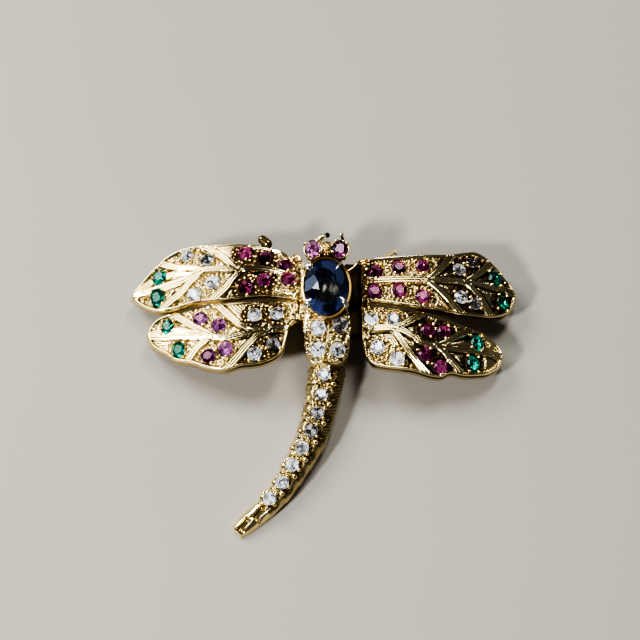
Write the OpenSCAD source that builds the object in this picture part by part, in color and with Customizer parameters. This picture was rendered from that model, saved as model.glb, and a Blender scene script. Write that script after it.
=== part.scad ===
// Dragonfly brooch of yellow gold, set with small coloured stones.
// It lies face up: +X to the right wings, +Y to the head, +Z up, floor at z = 0.
// The body frame has x = y = 0 under the middle of the sapphire.

/* [Wings] */
// Length of the upper left wing, root to tip
upper_left_span = 19.2; // [14:0.1:24]
// Length of the upper right wing, root to tip
upper_right_span = 17.6; // [14:0.1:24]
// Length of the lower left wing, root to tip
lower_left_span = 17.25; // [13:0.05:21]
// Length of the lower right wing, root to tip
lower_right_span = 15.8; // [13:0.1:21]
// Width that the wing tables' shares across are taken of
wing_chord = 8; // [7.2:0.1:9]
// Metal thickness of a wing
wing_wall = 1.1; // [0.9:0.05:1.4]
// Height of the upper wings' face at the root
upper_root_z = 6; // [5.6:0.1:6.4]
// Height of the lower wings' face at the root
lower_root_z = 5.3; // [5:0.1:5.7]
// How far an upper wing droops from root to tip
upper_droop = 3.8; // [2.4:0.1:4]
// How far a lower wing droops from root to tip
lower_droop = 3.3; // [2:0.1:3.5]
// Rise of a wing's face between its two edges
wing_arch = 0.3; // [0.1:0.05:0.5]
// Width of the raised rim along a wing's edges
rim_w = 0.5; // [0.3:0.05:0.7]
// Height of the raised rim over the panels
rim_h = 0.18; // [0.1:0.02:0.3]
// Width of a raised vein
vein_w = 0.5; // [0.3:0.05:0.7]
// Height of a raised vein over the panels
vein_h = 0.16; // [0.1:0.02:0.3]

/* [Thorax and head] */
// Gold left around the sapphire's outline
collar_w = 0.36; // [0.25:0.01:0.6]
// Height of the collar's edge over the floor
collar_z = 6.75; // [6.5:0.05:7.1]
// Height of the thorax's underside over the floor
thorax_base_z = 2.7; // [2.3:0.1:3.2]
// How far the thorax's foot lies to the right of its collar
thorax_lean = 0.45; // [0:0.05:0.7]
// Length of the diamond shield, from the sapphire's middle to its lower end
shield_length = 8.5; // [7.8:0.1:9.4]
// Width of the diamond shield
shield_w = 5.3; // [4.8:0.1:5.8]
// Distance from the body's axis to the left wings' roots
left_root = 2.9; // [2.6:0.05:3.2]
// Distance from the body's axis to the right wings' roots
right_root = 3.9; // [3.5:0.05:4.2]
// Distance of the eyes' middles from the body's axis
eye_spread = 1.52; // [1.4:0.01:1.75]
// Distance from the sapphire's middle to the eyes' middles
eye_forward = 5.15; // [4.95:0.05:5.5]
// Height of the eyes' girdles over the floor
eye_z = 6.35; // [6:0.05:6.7]
// Thickness of a feeler
feeler_d = 0.5; // [0.35:0.05:0.6]

/* [Tail] */
// Length of the tail along the body's axis, from the shield to the tip
tail_length = 18.6; // [17:0.1:20]
// How far the tail's tip swings to the left
tail_swing = 9.3; // [6:0.1:10.5]
// Widest width of the tail
tail_w = 4; // [3.6:0.1:4.4]
// Height of the tail's ridge over the floor at its first stone
tail_z = 3.55; // [3.3:0.05:3.8]
// How much each segment of the tail flares towards its lower end, as a share
tail_flare = 0.14; // [0:0.01:0.2]

/* [Stones] */
// Length of the sapphire
sapphire_l = 7.06; // [6.8:0.02:7.3]
// Width of the sapphire
sapphire_w = 4.86; // [4.6:0.02:5.1]
// Height of the sapphire's girdle over the floor
sapphire_z = 6.9; // [6.6:0.05:7.2]
// Length of an eye stone
eye_l = 2.15; // [2:0.01:2.3]
// Width of an eye stone
eye_w = 1.7; // [1.5:0.01:1.8]
// Diameter of a wing diamond
diamond_d = 1.62; // [1.4:0.01:1.7]
// Diameter of a ruby
ruby_d = 1.66; // [1.4:0.01:1.75]
// Length of an emerald
emerald_l = 2.1; // [1.8:0.01:2.3]
// Width of an emerald
emerald_w = 1.6; // [1.4:0.01:1.75]
// Diameter of a diamond on the shield
shield_diamond_d = 1.7; // [1.5:0.01:1.8]
// Diameter of a diamond on the tail
tail_diamond_d = 1.46; // [1.3:0.01:1.55]
// Depth of a stone below its girdle, as a share of its width
pavilion_share = 0.42; // [0.38:0.01:0.45]
// Height of a stone over its girdle, as a share of its width
crown_share = 0.17; // [0.13:0.01:0.2]
// Width of the table, as a share of the stone's
table_share = 0.58; // [0.5:0.01:0.65]
// Clear space left between a stone and its seat
stone_gap = 0.05; // [0.04:0.01:0.08]
// Thickness of a grain that holds a small stone
grain_d = 0.42; // [0.3:0.02:0.46]
// Height of a grain over the metal around it
grain_h = 0.26; // [0.2:0.02:0.32]
// Thickness of a claw of the sapphire
claw_d = 0.72; // [0.5:0.02:0.8]
// Thickness of a claw of an eye
eye_claw_d = 0.42; // [0.34:0.02:0.46]

/* [Pin fitting] */
// Distance of the hinge from the body's axis
hinge_x = 6.9; // [6:0.1:8]
// Distance of the catch from the body's axis
catch_x = 7.6; // [6.5:0.1:8.5]
// Distance of the pin stem from the sapphire's middle, towards the head
pin_y = 4.1; // [3.8:0.05:4.3]
// Thickness of the pin stem
stem_d = 0.9; // [0.7:0.05:1]
// Outer diameter of the hinge barrel and of the catch
barrel_d = 2.3; // [2:0.05:2.4]
// Height of the soldering pads under the wings
pad_z = 4.2; // [4:0.05:4.3]
// Solder line between the pads and the fitting
seat_gap = 0.05; // [0.03:0.01:0.1]

/* [Hidden] */
// Columns of an edge table: share of the span, shares of the chord to the leading and trailing edge.
ALONG = 0;
LEAD = 1;
TRAIL = 2;
upper_left_edge = [
    [0.00, 0.44, -0.17],
    [0.06, 0.55, -0.13],
    [0.12, 0.66, -0.10],
    [0.24, 0.75, -0.07],
    [0.36, 0.80, -0.09],
    [0.48, 0.82, -0.09],
    [0.60, 0.84, -0.08],
    [0.70, 0.82, -0.13],
    [0.77, 0.755, -0.15],
    [0.83, 0.66, -0.145],
    [0.89, 0.51, -0.09],
    [0.94, 0.36, -0.01],
    [0.975, 0.28, 0.06],
    [1.00, 0.19, 0.11],
];
upper_right_edge = [
    [0.00, 0.47, -0.20],
    [0.07, 0.52, -0.17],
    [0.15, 0.55, -0.18],
    [0.30, 0.60, -0.21],
    [0.44, 0.65, -0.23],
    [0.57, 0.69, -0.26],
    [0.67, 0.755, -0.27],
    [0.74, 0.785, -0.265],
    [0.80, 0.735, -0.255],
    [0.87, 0.60, -0.215],
    [0.93, 0.43, -0.14],
    [0.975, 0.31, -0.02],
    [1.00, 0.22, 0.09],
];
lower_left_edge = [
    [0.00, 0.43, 0.09],
    [0.06, 0.445, -0.02],
    [0.085, 0.445, -0.24],
    [0.115, 0.45, -0.41],
    [0.17, 0.45, -0.505],
    [0.26, 0.45, -0.57],
    [0.38, 0.45, -0.585],
    [0.46, 0.45, -0.63],
    [0.54, 0.45, -0.605],
    [0.61, 0.445, -0.555],
    [0.67, 0.435, -0.49],
    [0.74, 0.405, -0.445],
    [0.81, 0.365, -0.385],
    [0.87, 0.335, -0.275],
    [0.93, 0.29, -0.185],
    [0.98, 0.18, -0.08],
    [1.00, 0.07, 0.00],
];
lower_right_edge = [
    [0.00, 0.36, -0.15],
    [0.02, 0.36, -0.43],
    [0.07, 0.355, -0.59],
    [0.15, 0.345, -0.635],
    [0.26, 0.325, -0.65],
    [0.36, 0.305, -0.67],
    [0.46, 0.27, -0.72],
    [0.54, 0.235, -0.725],
    [0.61, 0.20, -0.65],
    [0.70, 0.14, -0.66],
    [0.78, 0.095, -0.64],
    [0.86, 0.05, -0.60],
    [0.91, -0.03, -0.54],
    [0.95, -0.09, -0.48],
    [0.985, -0.17, -0.39],
    [1.00, -0.24, -0.32],
];

// Columns of a stone table: share of the span, share of the chord, share of the stone's named size.
ACROSS = 1;
SIZE = 2;
rubies = [
    [[0.325, 0.635, 1], [0.208, 0.535, 1], [0.09, 0.405, 0.95],
     [0.315, 0.08, 1], [0.21, 0.17, 1], [0.07, 0.168, 0.95]],
    [[0.09, 0.295, 1], [0.237, 0.38, 1], [0.39, 0.44, 1],
     [0.083, -0.02, 1], [0.24, 0.015, 1], [0.385, -0.045, 1]],
    [[0.645, 0.20, 1], [0.522, 0.065, 1], [0.585, -0.395, 1], [0.475, -0.315, 1]],
    [[0.462, -0.015, 1], [0.575, -0.02, 0.96], [0.435, -0.41, 1], [0.54, -0.565, 1]],
];
diamonds = [
    [[0.672, 0.69, 0.96], [0.55, 0.58, 1], [0.51, 0.205, 1], [0.62, 0.05, 1]],
    [[0.628, 0.45, 1], [0.716, 0.59, 0.88], [0.632, 0.005, 1], [0.722, -0.065, 0.88]],
    [[0.292, 0.18, 1], [0.15, 0.185, 1], [0.288, -0.415, 1], [0.167, -0.275, 1]],
    [[0.066, 0.093, 1], [0.222, 0.107, 1], [0.107, -0.34, 1], [0.24, -0.495, 1]],
];
emeralds = [
    [[0.83, 0.39, 1], [0.838, 0.065, 1]],
    [[0.863, 0.385, 1], [0.905, 0.01, 0.9]],
    [[0.86, 0.13, 0.9], [0.78, -0.25, 0.9]],
    [[0.81, -0.125, 0.95], [0.775, -0.465, 0.95]],
];

// Veins of a wing: each is a line of points, as shares of the span and of the chord.
upper_left_veins = [
    [[0.03, 0.20], [0.35, 0.37], [0.57, 0.41], [0.71, 0.27], [0.98, 0.16]],
    [[0.35, 0.37], [0.46, 0.62], [0.56, 0.80]],
    [[0.35, 0.37], [0.43, 0.15], [0.49, -0.05]],
    [[0.57, 0.41], [0.70, 0.53], [0.81, 0.63]],
    [[0.57, 0.41], [0.69, 0.14], [0.785, -0.10]],
];
upper_right_veins = [
    [[0.02, 0.135], [0.42, 0.21], [0.67, 0.255], [0.98, 0.21]],
    [[0.42, 0.21], [0.50, 0.42], [0.58, 0.64]],
    [[0.42, 0.21], [0.52, -0.02], [0.62, -0.23]],
    [[0.67, 0.255], [0.76, 0.42], [0.83, 0.60]],
    [[0.67, 0.255], [0.74, 0.04], [0.80, -0.18]],
];
lower_left_veins = [
    [[0.06, -0.04], [0.44, -0.145], [0.56, -0.12], [0.97, 0.00]],
    [[0.13, -0.05], [0.35, 0.03], [0.46, 0.20], [0.53, 0.35]],
    [[0.13, -0.05], [0.29, -0.185], [0.38, -0.385], [0.44, -0.60]],
    [[0.55, -0.09], [0.65, 0.05], [0.80, 0.28]],
    [[0.55, -0.09], [0.67, -0.25], [0.71, -0.42]],
];
lower_right_veins = [
    [[0.02, -0.075], [0.23, -0.04], [0.36, -0.15], [0.47, -0.26], [0.96, -0.285]],
    [[0.20, -0.045], [0.31, 0.08], [0.40, 0.16]],
    [[0.20, -0.045], [0.265, -0.22], [0.365, -0.51], [0.45, -0.69]],
    [[0.54, -0.215], [0.66, -0.04], [0.76, 0.06]],
    [[0.54, -0.215], [0.64, -0.50], [0.69, -0.61]],
];

// Columns of the wing table.
SIDE = 0;
ROOT = 1;
SPAN = 2;
AXIS = 3;
HEIGHT = 4;
DROOP = 5;
EDGE = 6;
VEINS = 7;
lower_axis = -wing_chord / 2;
WINGS = [
    [-1, left_root, upper_left_span, 0, upper_root_z, upper_droop, upper_left_edge, upper_left_veins],
    [1, right_root, upper_right_span, 0, upper_root_z, upper_droop, upper_right_edge, upper_right_veins],
    [-1, left_root, lower_left_span, lower_axis, lower_root_z, lower_droop, lower_left_edge,
     lower_left_veins],
    [1, right_root, lower_right_span, lower_axis, lower_root_z, lower_droop, lower_right_edge,
     lower_right_veins],
];
WING_NAMES = ["upper_left", "upper_right", "lower_left", "lower_right"];
droop_power = 1.7;

// Diamonds of the shield: share of its width from the axis, share of its length.
shield_stones = [[-0.175, 0.54], [0.285, 0.495], [-0.185, 0.82], [0.225, 0.82]];

// Columns of the shield's sections: share of its length, shares of half its width, shares of its heights.
shield_rows = [
    [0.28, 1.00, 1.00, 1.00],
    [0.45, 0.98, 1.02, 0.95],
    [0.59, 0.95, 1.01, 0.78],
    [0.73, 0.89, 0.95, 0.55],
    [0.85, 0.78, 0.86, 0.33],
    [0.93, 0.60, 0.68, 0.20],
    [0.98, 0.36, 0.44, 0.14],
    [1.00, 0.18, 0.24, 0.10],
];
shield_top_z = 6.05;
shield_fall = 1.25;
shield_base_z = 2.9;
shield_edge_drop = 0.7;
shield_rim_d = 0.5;

// Columns of the tail's rows: one row for each stone, then the plain end.
SWING = 0;
DOWN = 1;
LEFT_W = 2;
RIGHT_W = 3;
RIDGE = 4;
tail_rows = [
    [0.010, 0.000, 0.46, 0.54, 0.98],
    [0.030, 0.080, 0.47, 0.54, 1.00],
    [0.060, 0.205, 0.47, 0.47, 0.95],
    [0.105, 0.320, 0.46, 0.43, 0.90],
    [0.180, 0.428, 0.42, 0.44, 0.84],
    [0.285, 0.533, 0.38, 0.42, 0.78],
    [0.400, 0.634, 0.35, 0.40, 0.70],
    [0.515, 0.735, 0.32, 0.35, 0.61],
    [0.655, 0.825, 0.31, 0.30, 0.53],
    [0.815, 0.907, 0.28, 0.26, 0.42],
    [0.955, 0.968, 0.25, 0.23, 0.33],
    [1.035, 1.003, 0.19, 0.17, 0.24],
];
tail_stones = 8;
tail_root_y = -(shield_length - 0.9);
tail_lift = 0.42;
tail_axis = 0.02;

// Claws of the sapphire, by their angle round it.
sapphire_claws = [40, 140, 217, 323];
eye_claws = [25, 115, 205, 300];

CUT = 8;
EYE_CUT = 12;
SAPPHIRE_CUT = 16;

// Helpers on points and lists.
function unit(v) = v / norm(v);
function flat(rows) = [for (row = rows) for (p = row) p];
function mid(a, b, share) = a + (b - a) * share;

// A smooth curve through rows of numbers, at a place counted in rows.
function smooth_row(rows, place) =
    let (last = len(rows) - 1,
         i = min(floor(place), last - 1),
         u = place - i,
         a = rows[max(i - 1, 0)],
         b = rows[i],
         c = rows[i + 1],
         d = rows[min(i + 2, last)])
    b + (c - a) * (u / 2) + (a * 2 - b * 5 + c * 4 - d) * (u * u / 2)
    + (b * 3 - a - c * 3 + d) * (u * u * u / 2);

// A closed skin over rings of equal length, with flat ends.
module skin(rings) {
    n = len(rings[0]);
    last = (len(rings) - 1) * n;
    polyhedron(
        points = flat(rings),
        faces = concat(
            [[for (k = [0:n - 1]) k]],
            [[for (k = [n - 1:-1:0]) last + k]],
            [for (r = [0:len(rings) - 2]) for (k = [0:n - 1])
                let (a = r * n + k, b = r * n + (k + 1) % n) each [[a, a + n, b + n], [a, b + n, b]]]));
}

// An oval ring of points at one height.
function oval(w, l, z, n, x = 0, y = 0) =
    [for (k = [0:n - 1])
        let (t = k * 360 / n) [x + w / 2 * cos(t), y + l / 2 * sin(t), z]];

// A round bar through points, with a radius at each.
function bar_rings(points, radii, n) =
    [for (i = [0:len(points) - 1])
        let (d = unit(points[min(i + 1, len(points) - 1)] - points[max(i - 1, 0)]),
             helper = abs(d.z) > 0.9 ? [0, 1, 0] : [0, 0, 1],
             across = unit(cross(d, helper)),
             up = cross(across, d))
        [for (k = [0:n - 1])
            points[i] + radii[i] * (across * cos(360 * k / n) - up * sin(360 * k / n))]];

module bar(points, radii, n = 5) {
    skin(bar_rings(points, radii, n));
}

// Puts its children at a point, with +Z along the surface's normal.
module on_surface(place) {
    n = place[1];
    translate(place[0])
        rotate([0, acos(n.z), atan2(n.y, n.x)])
            rotate([0, 0, -atan2(n.y, n.x)])
                children();
}

// A cut stone: table, crown, girdle and pointed pavilion, with the girdle's top at z = 0.
// Grown by the stone's clear space, it is the seat that is cut for it.
function girdle_h(w) = 0.045 * w;
module cut_stone(w, l, n = CUT, grow = 0, table = table_share, crown = crown_share) {
    g = grow * 2;
    low = -girdle_h(w) - grow;
    rings = [
        oval(w + g, l + g, low, n),
        oval(w + g, l + g, grow, n),
        oval(table * w + g, table * l + g, crown * w + grow, n)];
    polyhedron(
        points = concat([[0, 0, low - pavilion_share * w - grow]], flat(rings)),
        faces = concat(
            [for (k = [0:n - 1]) [0, 1 + k, 1 + (k + 1) % n]],
            [for (r = [0:1]) for (k = [0:n - 1])
                let (a = 1 + r * n + k, b = 1 + r * n + (k + 1) % n)
                each [[a, a + n, b + n], [a, b + n, b]]],
            [[for (k = [n - 1:-1:0]) 1 + 2 * n + k]]));
}

// Places on a wing, from shares along its span and across its chord.
function edge_at(w, along, side) =
    lookup(along, [for (row = w[EDGE]) [row[ALONG], row[side]]]);
function face_z(w, along, across) =
    let (lead = edge_at(w, along, LEAD),
         trail = edge_at(w, along, TRAIL),
         f = max(0, min(1, (across - trail) / (lead - trail))))
    w[HEIGHT] - w[DROOP] * pow(max(along, 0), droop_power) + wing_arch * 4 * f * (1 - f);
function wing_xy(w, along, across) =
    [w[SIDE] * (w[ROOT] + w[SPAN] * along), w[AXIS] + wing_chord * across];
function wing_point(w, along, across, lift = 0) =
    let (p = wing_xy(w, along, across)) [p.x, p.y, face_z(w, along, across) + lift];
function wing_place(w, along, across, lift = 0) =
    let (e = 0.03,
         p = wing_point(w, along, across, lift),
         dx = wing_point(w, along + e, across) - wing_point(w, along - e, across),
         dy = wing_point(w, along, across + e) - wing_point(w, along, across - e),
         n = unit(cross(dx, dy)))
    [p, n.z > 0 ? n : -n];

// One cross-section of a wing: over the face from the trailing rim to the leading rim, and back below.
// The rims' crests lie at a share of their width, and the edges roll down by a share of the wall.
rim_crest = 0.4;
edge_roll = 0.3;
widest_rim = 0.3;
bottom_inset = 0.12;
function wing_ring(w, along) =
    let (lead = edge_at(w, along, LEAD) * wing_chord,
         trail = edge_at(w, along, TRAIL) * wing_chord,
         rim = min(rim_w, (lead - trail) * widest_rim),
         x = w[SIDE] * (w[ROOT] + w[SPAN] * along),
         outline = [
             [trail, -edge_roll * wing_wall],
             [trail + rim_crest * rim, rim_h],
             [trail + rim, 0],
             [mid(trail, lead, 0.35), 0],
             [mid(trail, lead, 0.65), 0],
             [lead - rim, 0],
             [lead - rim_crest * rim, rim_h],
             [lead, -edge_roll * wing_wall],
             [lead - bottom_inset, -wing_wall],
             [mid(trail, lead, 0.5), -wing_wall],
             [trail + bottom_inset, -wing_wall]])
    [for (p = outline) [x, w[AXIS] + p[0], face_z(w, along, p[0] / wing_chord) + p[1]]];

// A left wing's plate starts under the thorax's wall. The right roots stand clear of it, on their webs.
root_tuck = 1.1;
module wing_plate(w) {
    rings = concat(
        w[SIDE] < 0 ? [[for (p = wing_ring(w, 0)) p + [root_tuck, 0, 0]]] : [],
        [for (row = w[EDGE]) wing_ring(w, row[ALONG])]);
    skin(w[SIDE] > 0 ? [for (i = [len(rings) - 1:-1:0]) rings[i]] : rings);
}

// A vein follows the face as a low four-sided ridge.
module vein(w, shares) {
    points = [for (s = shares) wing_point(w, s[0], s[1], vein_h - vein_w / 2)];
    bar(points, [for (s = shares) vein_w / 2], 4);
}

// A wing is its plate and its veins.
module wing(w) {
    wing_plate(w);
    for (line = w[VEINS])
        vein(w, line);
}

// Grains stand around a small stone and hold it.
grain_top = 0.5;
module grains(w, l, angles) {
    reach = stone_gap + grain_d / 2;
    for (t = angles)
        translate([(w / 2 + reach) * cos(t), (l / 2 + reach) * sin(t), -grain_d])
            cylinder(d1 = grain_d, d2 = grain_d * grain_top, h = grain_d + grain_h, $fn = 4);
}

// Every small stone is a place on its surface, its width and length, and the angles of its grains.
stone_lift = 0.04;
three_grains = [45, 165, 285];
two_grains = [0, 180];
four_grains = [45, 135, 225, 315];
upper_grains = [45, 135];
function stones_of(table, w, width, length, angles) =
    [for (s = table)
        [wing_place(w, s[ALONG], s[ACROSS], stone_lift), width * s[SIZE], length * s[SIZE], angles]];
function ruby_places(i) = stones_of(rubies[i], WINGS[i], ruby_d, ruby_d, three_grains);
function diamond_places(i) = stones_of(diamonds[i], WINGS[i], diamond_d, diamond_d, three_grains);
function emerald_places(i) = stones_of(emeralds[i], WINGS[i], emerald_w, emerald_l, two_grains);

// The shield and the tail share one arched section with a hollow back.
// Its shoulders fall by a drop, and its crown is left thicker than its walls.
function arch_section(left, right, top, base, wall, drop) =
    [[-left, base], [-left * 0.98, top - drop], [-left * 0.8, top - drop * 0.3],
     [-left * 0.4, top], [right * 0.4, top], [right * 0.8, top - drop * 0.3],
     [right * 0.98, top - drop], [right, base],
     [right - wall, base], [0, max(base + 0.05, top - wall * 1.6)], [wall - left, base]];

// A cross-section of the shield, from one row of its table.
shield_wall = 0.8;
function shield_ring(row) =
    let (y = -shield_length * row[0],
         top = shield_top_z - shield_fall * (1 - row[3]),
         s = arch_section(shield_w / 2 * row[1], shield_w / 2 * row[2], top, shield_base_z,
                          min(shield_wall, shield_w / 4 * row[1]), shield_edge_drop))
    [for (p = s) [p[0], y, p[1]]];

// The shield has a raised rim round its lower end.
rim_start = 2;
module shield() {
    last = len(shield_rows) - 1;
    skin([for (i = [last:-1:0]) shield_ring(shield_rows[i])]);
    left = [for (i = [rim_start:last]) shield_ring(shield_rows[i])[2]];
    right = [for (i = [last:-1:rim_start]) shield_ring(shield_rows[i])[5]];
    rim = concat(left, right);
    bar(rim, [for (p = rim) shield_rim_d / 2], 4);
}

// Height of the shield's face, and the places of its diamonds.
function shield_height(share) =
    shield_top_z - shield_fall * (1 - lookup(share, [for (row = shield_rows) [row[0], row[3]]]));
function shield_places() =
    [for (s = shield_stones)
        let (e = 0.05,
             slope = (shield_height(s[1] + e) - shield_height(s[1] - e)) / (2 * e * shield_length),
             n = unit([0, slope, 1]))
        [[[shield_w * s[0], -shield_length * s[1], shield_height(s[1]) + stone_lift], n],
         shield_diamond_d, shield_diamond_d, s[1] > 0.7 ? upper_grains : four_grains]];

// Columns of the thorax's sections: shares of the collar's width and length, height, share of the lean.
drum_rows = [
    [0.94, 0.92, thorax_base_z, 1],
    [1.04, 1.00, mid(thorax_base_z, collar_z, 0.4), 0.8],
    [0.98, 0.98, collar_z - 0.95, 0.3],
    [1.00, 1.00, collar_z - 0.1, 0],
    [0.97, 0.98, collar_z + 0.1, 0],
];
hollow_rows = [
    [0.70, 0.72, thorax_base_z - 1, 1],
    [0.66, 0.70, collar_z - 1.4, 0.4],
];
THORAX_SIDES = 20;
module drum(rows) {
    w = sapphire_w + 2 * collar_w;
    l = sapphire_l + 2 * collar_w;
    skin([for (r = rows) oval(w * r[0], l * r[1], r[2], THORAX_SIDES, thorax_lean * r[3])]);
}

// Thorax: an oval drum whose foot leans to the right, open at the back under the sapphire.
module thorax() {
    difference() {
        drum(drum_rows);
        drum(hollow_rows);
    }
}

// Webs under the right wings' roots, seen as the dark step beside the thorax.
// Columns: number of the wing, shares of the chord from its axis to the web's two ends.
web_rows = [[1, -0.14, 0.37], [3, -0.06, 0.30]];
web_bite = 0.2;
web_reach = 0.6;
web_h = 1;
web_round = 0.8;
module root_web(row) {
    w = WINGS[row[0]];
    hull()
        for (x = [sapphire_w / 2, right_root + web_reach], y = [row[1], row[2]])
            translate([x, w[AXIS] + wing_chord * y, w[HEIGHT] - wing_wall + web_bite - web_h])
                cylinder(d = web_round, h = web_h, $fn = 6);
}

// Claws of the sapphire climb its side and bend over the girdle.
// Columns: share of the stone's half width, height over the girdle, radius.
claw_rows = [
    [1.00, -1.4, claw_d * 0.5],
    [1.00, 0, claw_d * 0.5],
    [0.90, claw_d * 0.5 + 0.12, claw_d * 0.42],
    [0.74, claw_d * 0.62 + 0.2, claw_d * 0.24],
];
claw_out = 0.3 * claw_d;
module sapphire_setting() {
    for (angle = sapphire_claws)
        bar([for (r = claw_rows)
                [(sapphire_w / 2 * r[0] + claw_out) * cos(angle),
                 (sapphire_l / 2 * r[0] + claw_out) * sin(angle),
                 sapphire_z + r[1]]],
            [for (r = claw_rows) r[2]]);
}

// Head: two eye cups on a rounded block, a bridge between them and two short feelers.
eye_cup_rim = 0.2;
eye_cup_h = 1.9;
module eye_cup(side) {
    x = side * eye_spread;
    brow = 1.6 * eye_cup_rim;
    lip = 2 * eye_cup_rim;
    skin([
        oval(eye_w * 0.7, eye_l * 0.8, eye_z - eye_cup_h, EYE_CUT, x * 0.75, eye_forward - 0.2),
        oval(eye_w + brow, eye_l + brow, eye_z - 0.5, EYE_CUT, x, eye_forward),
        oval(eye_w + lip, eye_l + lip, eye_z - 0.1, EYE_CUT, x, eye_forward)]);
    for (a = eye_claws)
        eye_claw(x, side > 0 ? a : 180 - a);
}

// A short prong that leans over the eye's girdle.
// Columns of its two ends: share of the stone's half width, height over the girdle, share of the thickness.
prong_foot = 0.5;
prong_rows = [
    [1.0, -prong_foot, 1],
    [0.80, crown_share * eye_w * 0.7 + 0.1, 0.6],
];
module eye_claw(x, angle) {
    out = eye_claw_d * 0.3;
    hull()
        for (r = prong_rows)
            translate([x + (eye_w / 2 * r[0] + out) * cos(angle),
                       eye_forward + (eye_l / 2 * r[0] + out) * sin(angle),
                       eye_z + r[1]])
                cylinder(d = eye_claw_d * r[2], h = prong_foot * r[2] * 0.6, $fn = 5);
}

// A rounded bead.
module bead(at, d) {
    translate(at)
        sphere(d = d, $fn = 6);
}

// A feeler is a bar with a bead on its end.
// Columns: a point counted from the eyes' front edge, and a share of the feeler's thickness.
left_feeler = [
    [[-0.80, -0.55, -0.95], 0.5],
    [[-0.95, -0.10, -0.10], 0.55],
    [[-0.45, 0.50, 0.20], 0.55],
    [[0.20, 0.85, 0.00], 0.5],
];
right_feeler = [
    [[1.50, -0.30, -1.20], 0.6],
    [[1.85, 0.10, -0.60], 0.5],
    [[1.75, 0.70, 0.10], 0.4],
];
module feeler(rows, tip) {
    front = [0, eye_forward + eye_l / 2, eye_z];
    bar([for (r = rows) front + r[0]], [for (r = rows) feeler_d * r[1]]);
    bead(front + rows[len(rows) - 1][0], feeler_d * tip);
}

head_h = 1.8;
head_d = 1.7;
brow_d = 1.3;
module head() {
    eye_cup(-1);
    eye_cup(1);
    hull() {
        for (side = [-1, 1])
            bead([side * eye_spread * 0.6, eye_forward - 0.6, eye_z - head_h], head_d);
        bead([0, sapphire_l / 2 - 0.2, eye_z - head_h - 0.1], head_d);
    }
    bead([0, eye_forward + 0.3, eye_z - 0.5], brow_d);
    feeler(left_feeler, 1.5);
    feeler(right_feeler, 1.4);
}

// Tail: a smooth curve through its rows, with a flared segment for each stone.
function tail_point(place) =
    let (r = smooth_row(tail_rows, place))
    [tail_axis - tail_swing * r[SWING], tail_root_y - tail_length * r[DOWN], tail_z * r[RIDGE]];
function tail_heading(place) =
    let (a = tail_point(max(place - 0.05, 0)), b = tail_point(min(place + 0.05, len(tail_rows) - 1)))
    unit([b.x - a.x, b.y - a.y, 0]);
function tail_flare_at(place) =
    place < tail_stones + 0.5 ? 1 + tail_flare * (place + 0.5 - floor(place + 0.5) - 0.6) : 1;
function tail_base(place) =
    max(0, tail_lift * tail_z * (1 - place / (tail_stones + 1)));
function tail_ring(place) =
    let (r = smooth_row(tail_rows, place),
         p = tail_point(place),
         d = tail_heading(place),
         side = [-d.y, d.x, 0],
         f = tail_flare_at(place),
         left = tail_w * r[LEFT_W] * f,
         right = tail_w * r[RIGHT_W] * f,
         top = p.z * (f + 3) / 4,
         base = tail_base(place),
         s = arch_section(left, right, top, base, min(0.75, left * 0.6), (top - base) * 0.45))
    [for (q = s) [p.x, p.y, 0] + side * q[0] + [0, 0, q[1]]];

// The tail's sections, counted in rows: three to a segment, then the plain end.
tail_sections = concat(
    [0, 0.45],
    [for (i = [1:tail_stones]) each [i - 0.45, i, i + 0.42]],
    [for (i = [1:0.5:3]) tail_stones + i]);
module tail() {
    skin([for (i = [len(tail_sections) - 1:-1:0]) tail_ring(tail_sections[i])]);
}

// Each tail stone lies square to the ridge.
function tail_places() =
    [for (i = [1:tail_stones])
        let (a = tail_point(i - 0.4),
             b = tail_point(i + 0.4),
             d = unit(b - a),
             side = unit(cross([0, 0, 1], d)),
             n = unit(cross(d, side)),
             p = tail_point(i))
        [[p + [0, 0, stone_lift], n.z > 0 ? n : -n], tail_diamond_d, tail_diamond_d, four_grains]];

// Pads under the wings, where the pin fitting is soldered.
pad_l = 2;
pad_w = 1.6;
pad_y = pin_y - pad_l / 2 - 0.5;
module pad(x) {
    translate([x - pad_w / 2, pad_y, pad_z])
        cube([pad_w, pad_l, upper_root_z - wing_wall / 2 - pad_z]);
}

sapphire_place = [[0, 0, sapphire_z], [0, 0, 1]];
function eye_place(side) = [[side * eye_spread, eye_forward, eye_z], [0, 0, 1]];
SMALL_STONES = concat(
    [for (i = [0:3]) each ruby_places(i)],
    [for (i = [0:3]) each diamond_places(i)],
    [for (i = [0:3]) each emerald_places(i)],
    shield_places(),
    tail_places());

// The origin is under the middle of the brooch's box.
low_y = min([for (p = flat([for (i = [-4:0]) tail_ring(len(tail_rows) - 1 + i / 4)])) p.y]);
high_y = eye_forward + eye_l / 2 + left_feeler[3][0].y + feeler_d * 0.7;
box_middle = [(right_root + upper_right_span - left_root - upper_left_span) / 2, (low_y + high_y) / 2, 0];
module placed() {
    translate(-box_middle)
        children();
}

module gold_frame() {
    color("goldenrod")
        placed()
            difference() {
                union() {
                    for (w = WINGS)
                        wing(w);
                    thorax();
                    for (row = web_rows)
                        root_web(row);
                    shield();
                    head();
                    tail();
                    sapphire_setting();
                    pad(-hinge_x);
                    pad(catch_x);
                    for (s = SMALL_STONES)
                        on_surface(s[0])
                            grains(s[1], s[2], s[3]);
                }
                on_surface(sapphire_place)
                    cut_stone(sapphire_w, sapphire_l, SAPPHIRE_CUT, stone_gap);
                for (side = [-1, 1])
                    on_surface(eye_place(side))
                        cut_stone(eye_w, eye_l, EYE_CUT, stone_gap);
                for (s = SMALL_STONES)
                    on_surface(s[0])
                        cut_stone(s[1], s[2], CUT, stone_gap, 1, (grain_h + stone_gap) / s[1]);
            }
}

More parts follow.
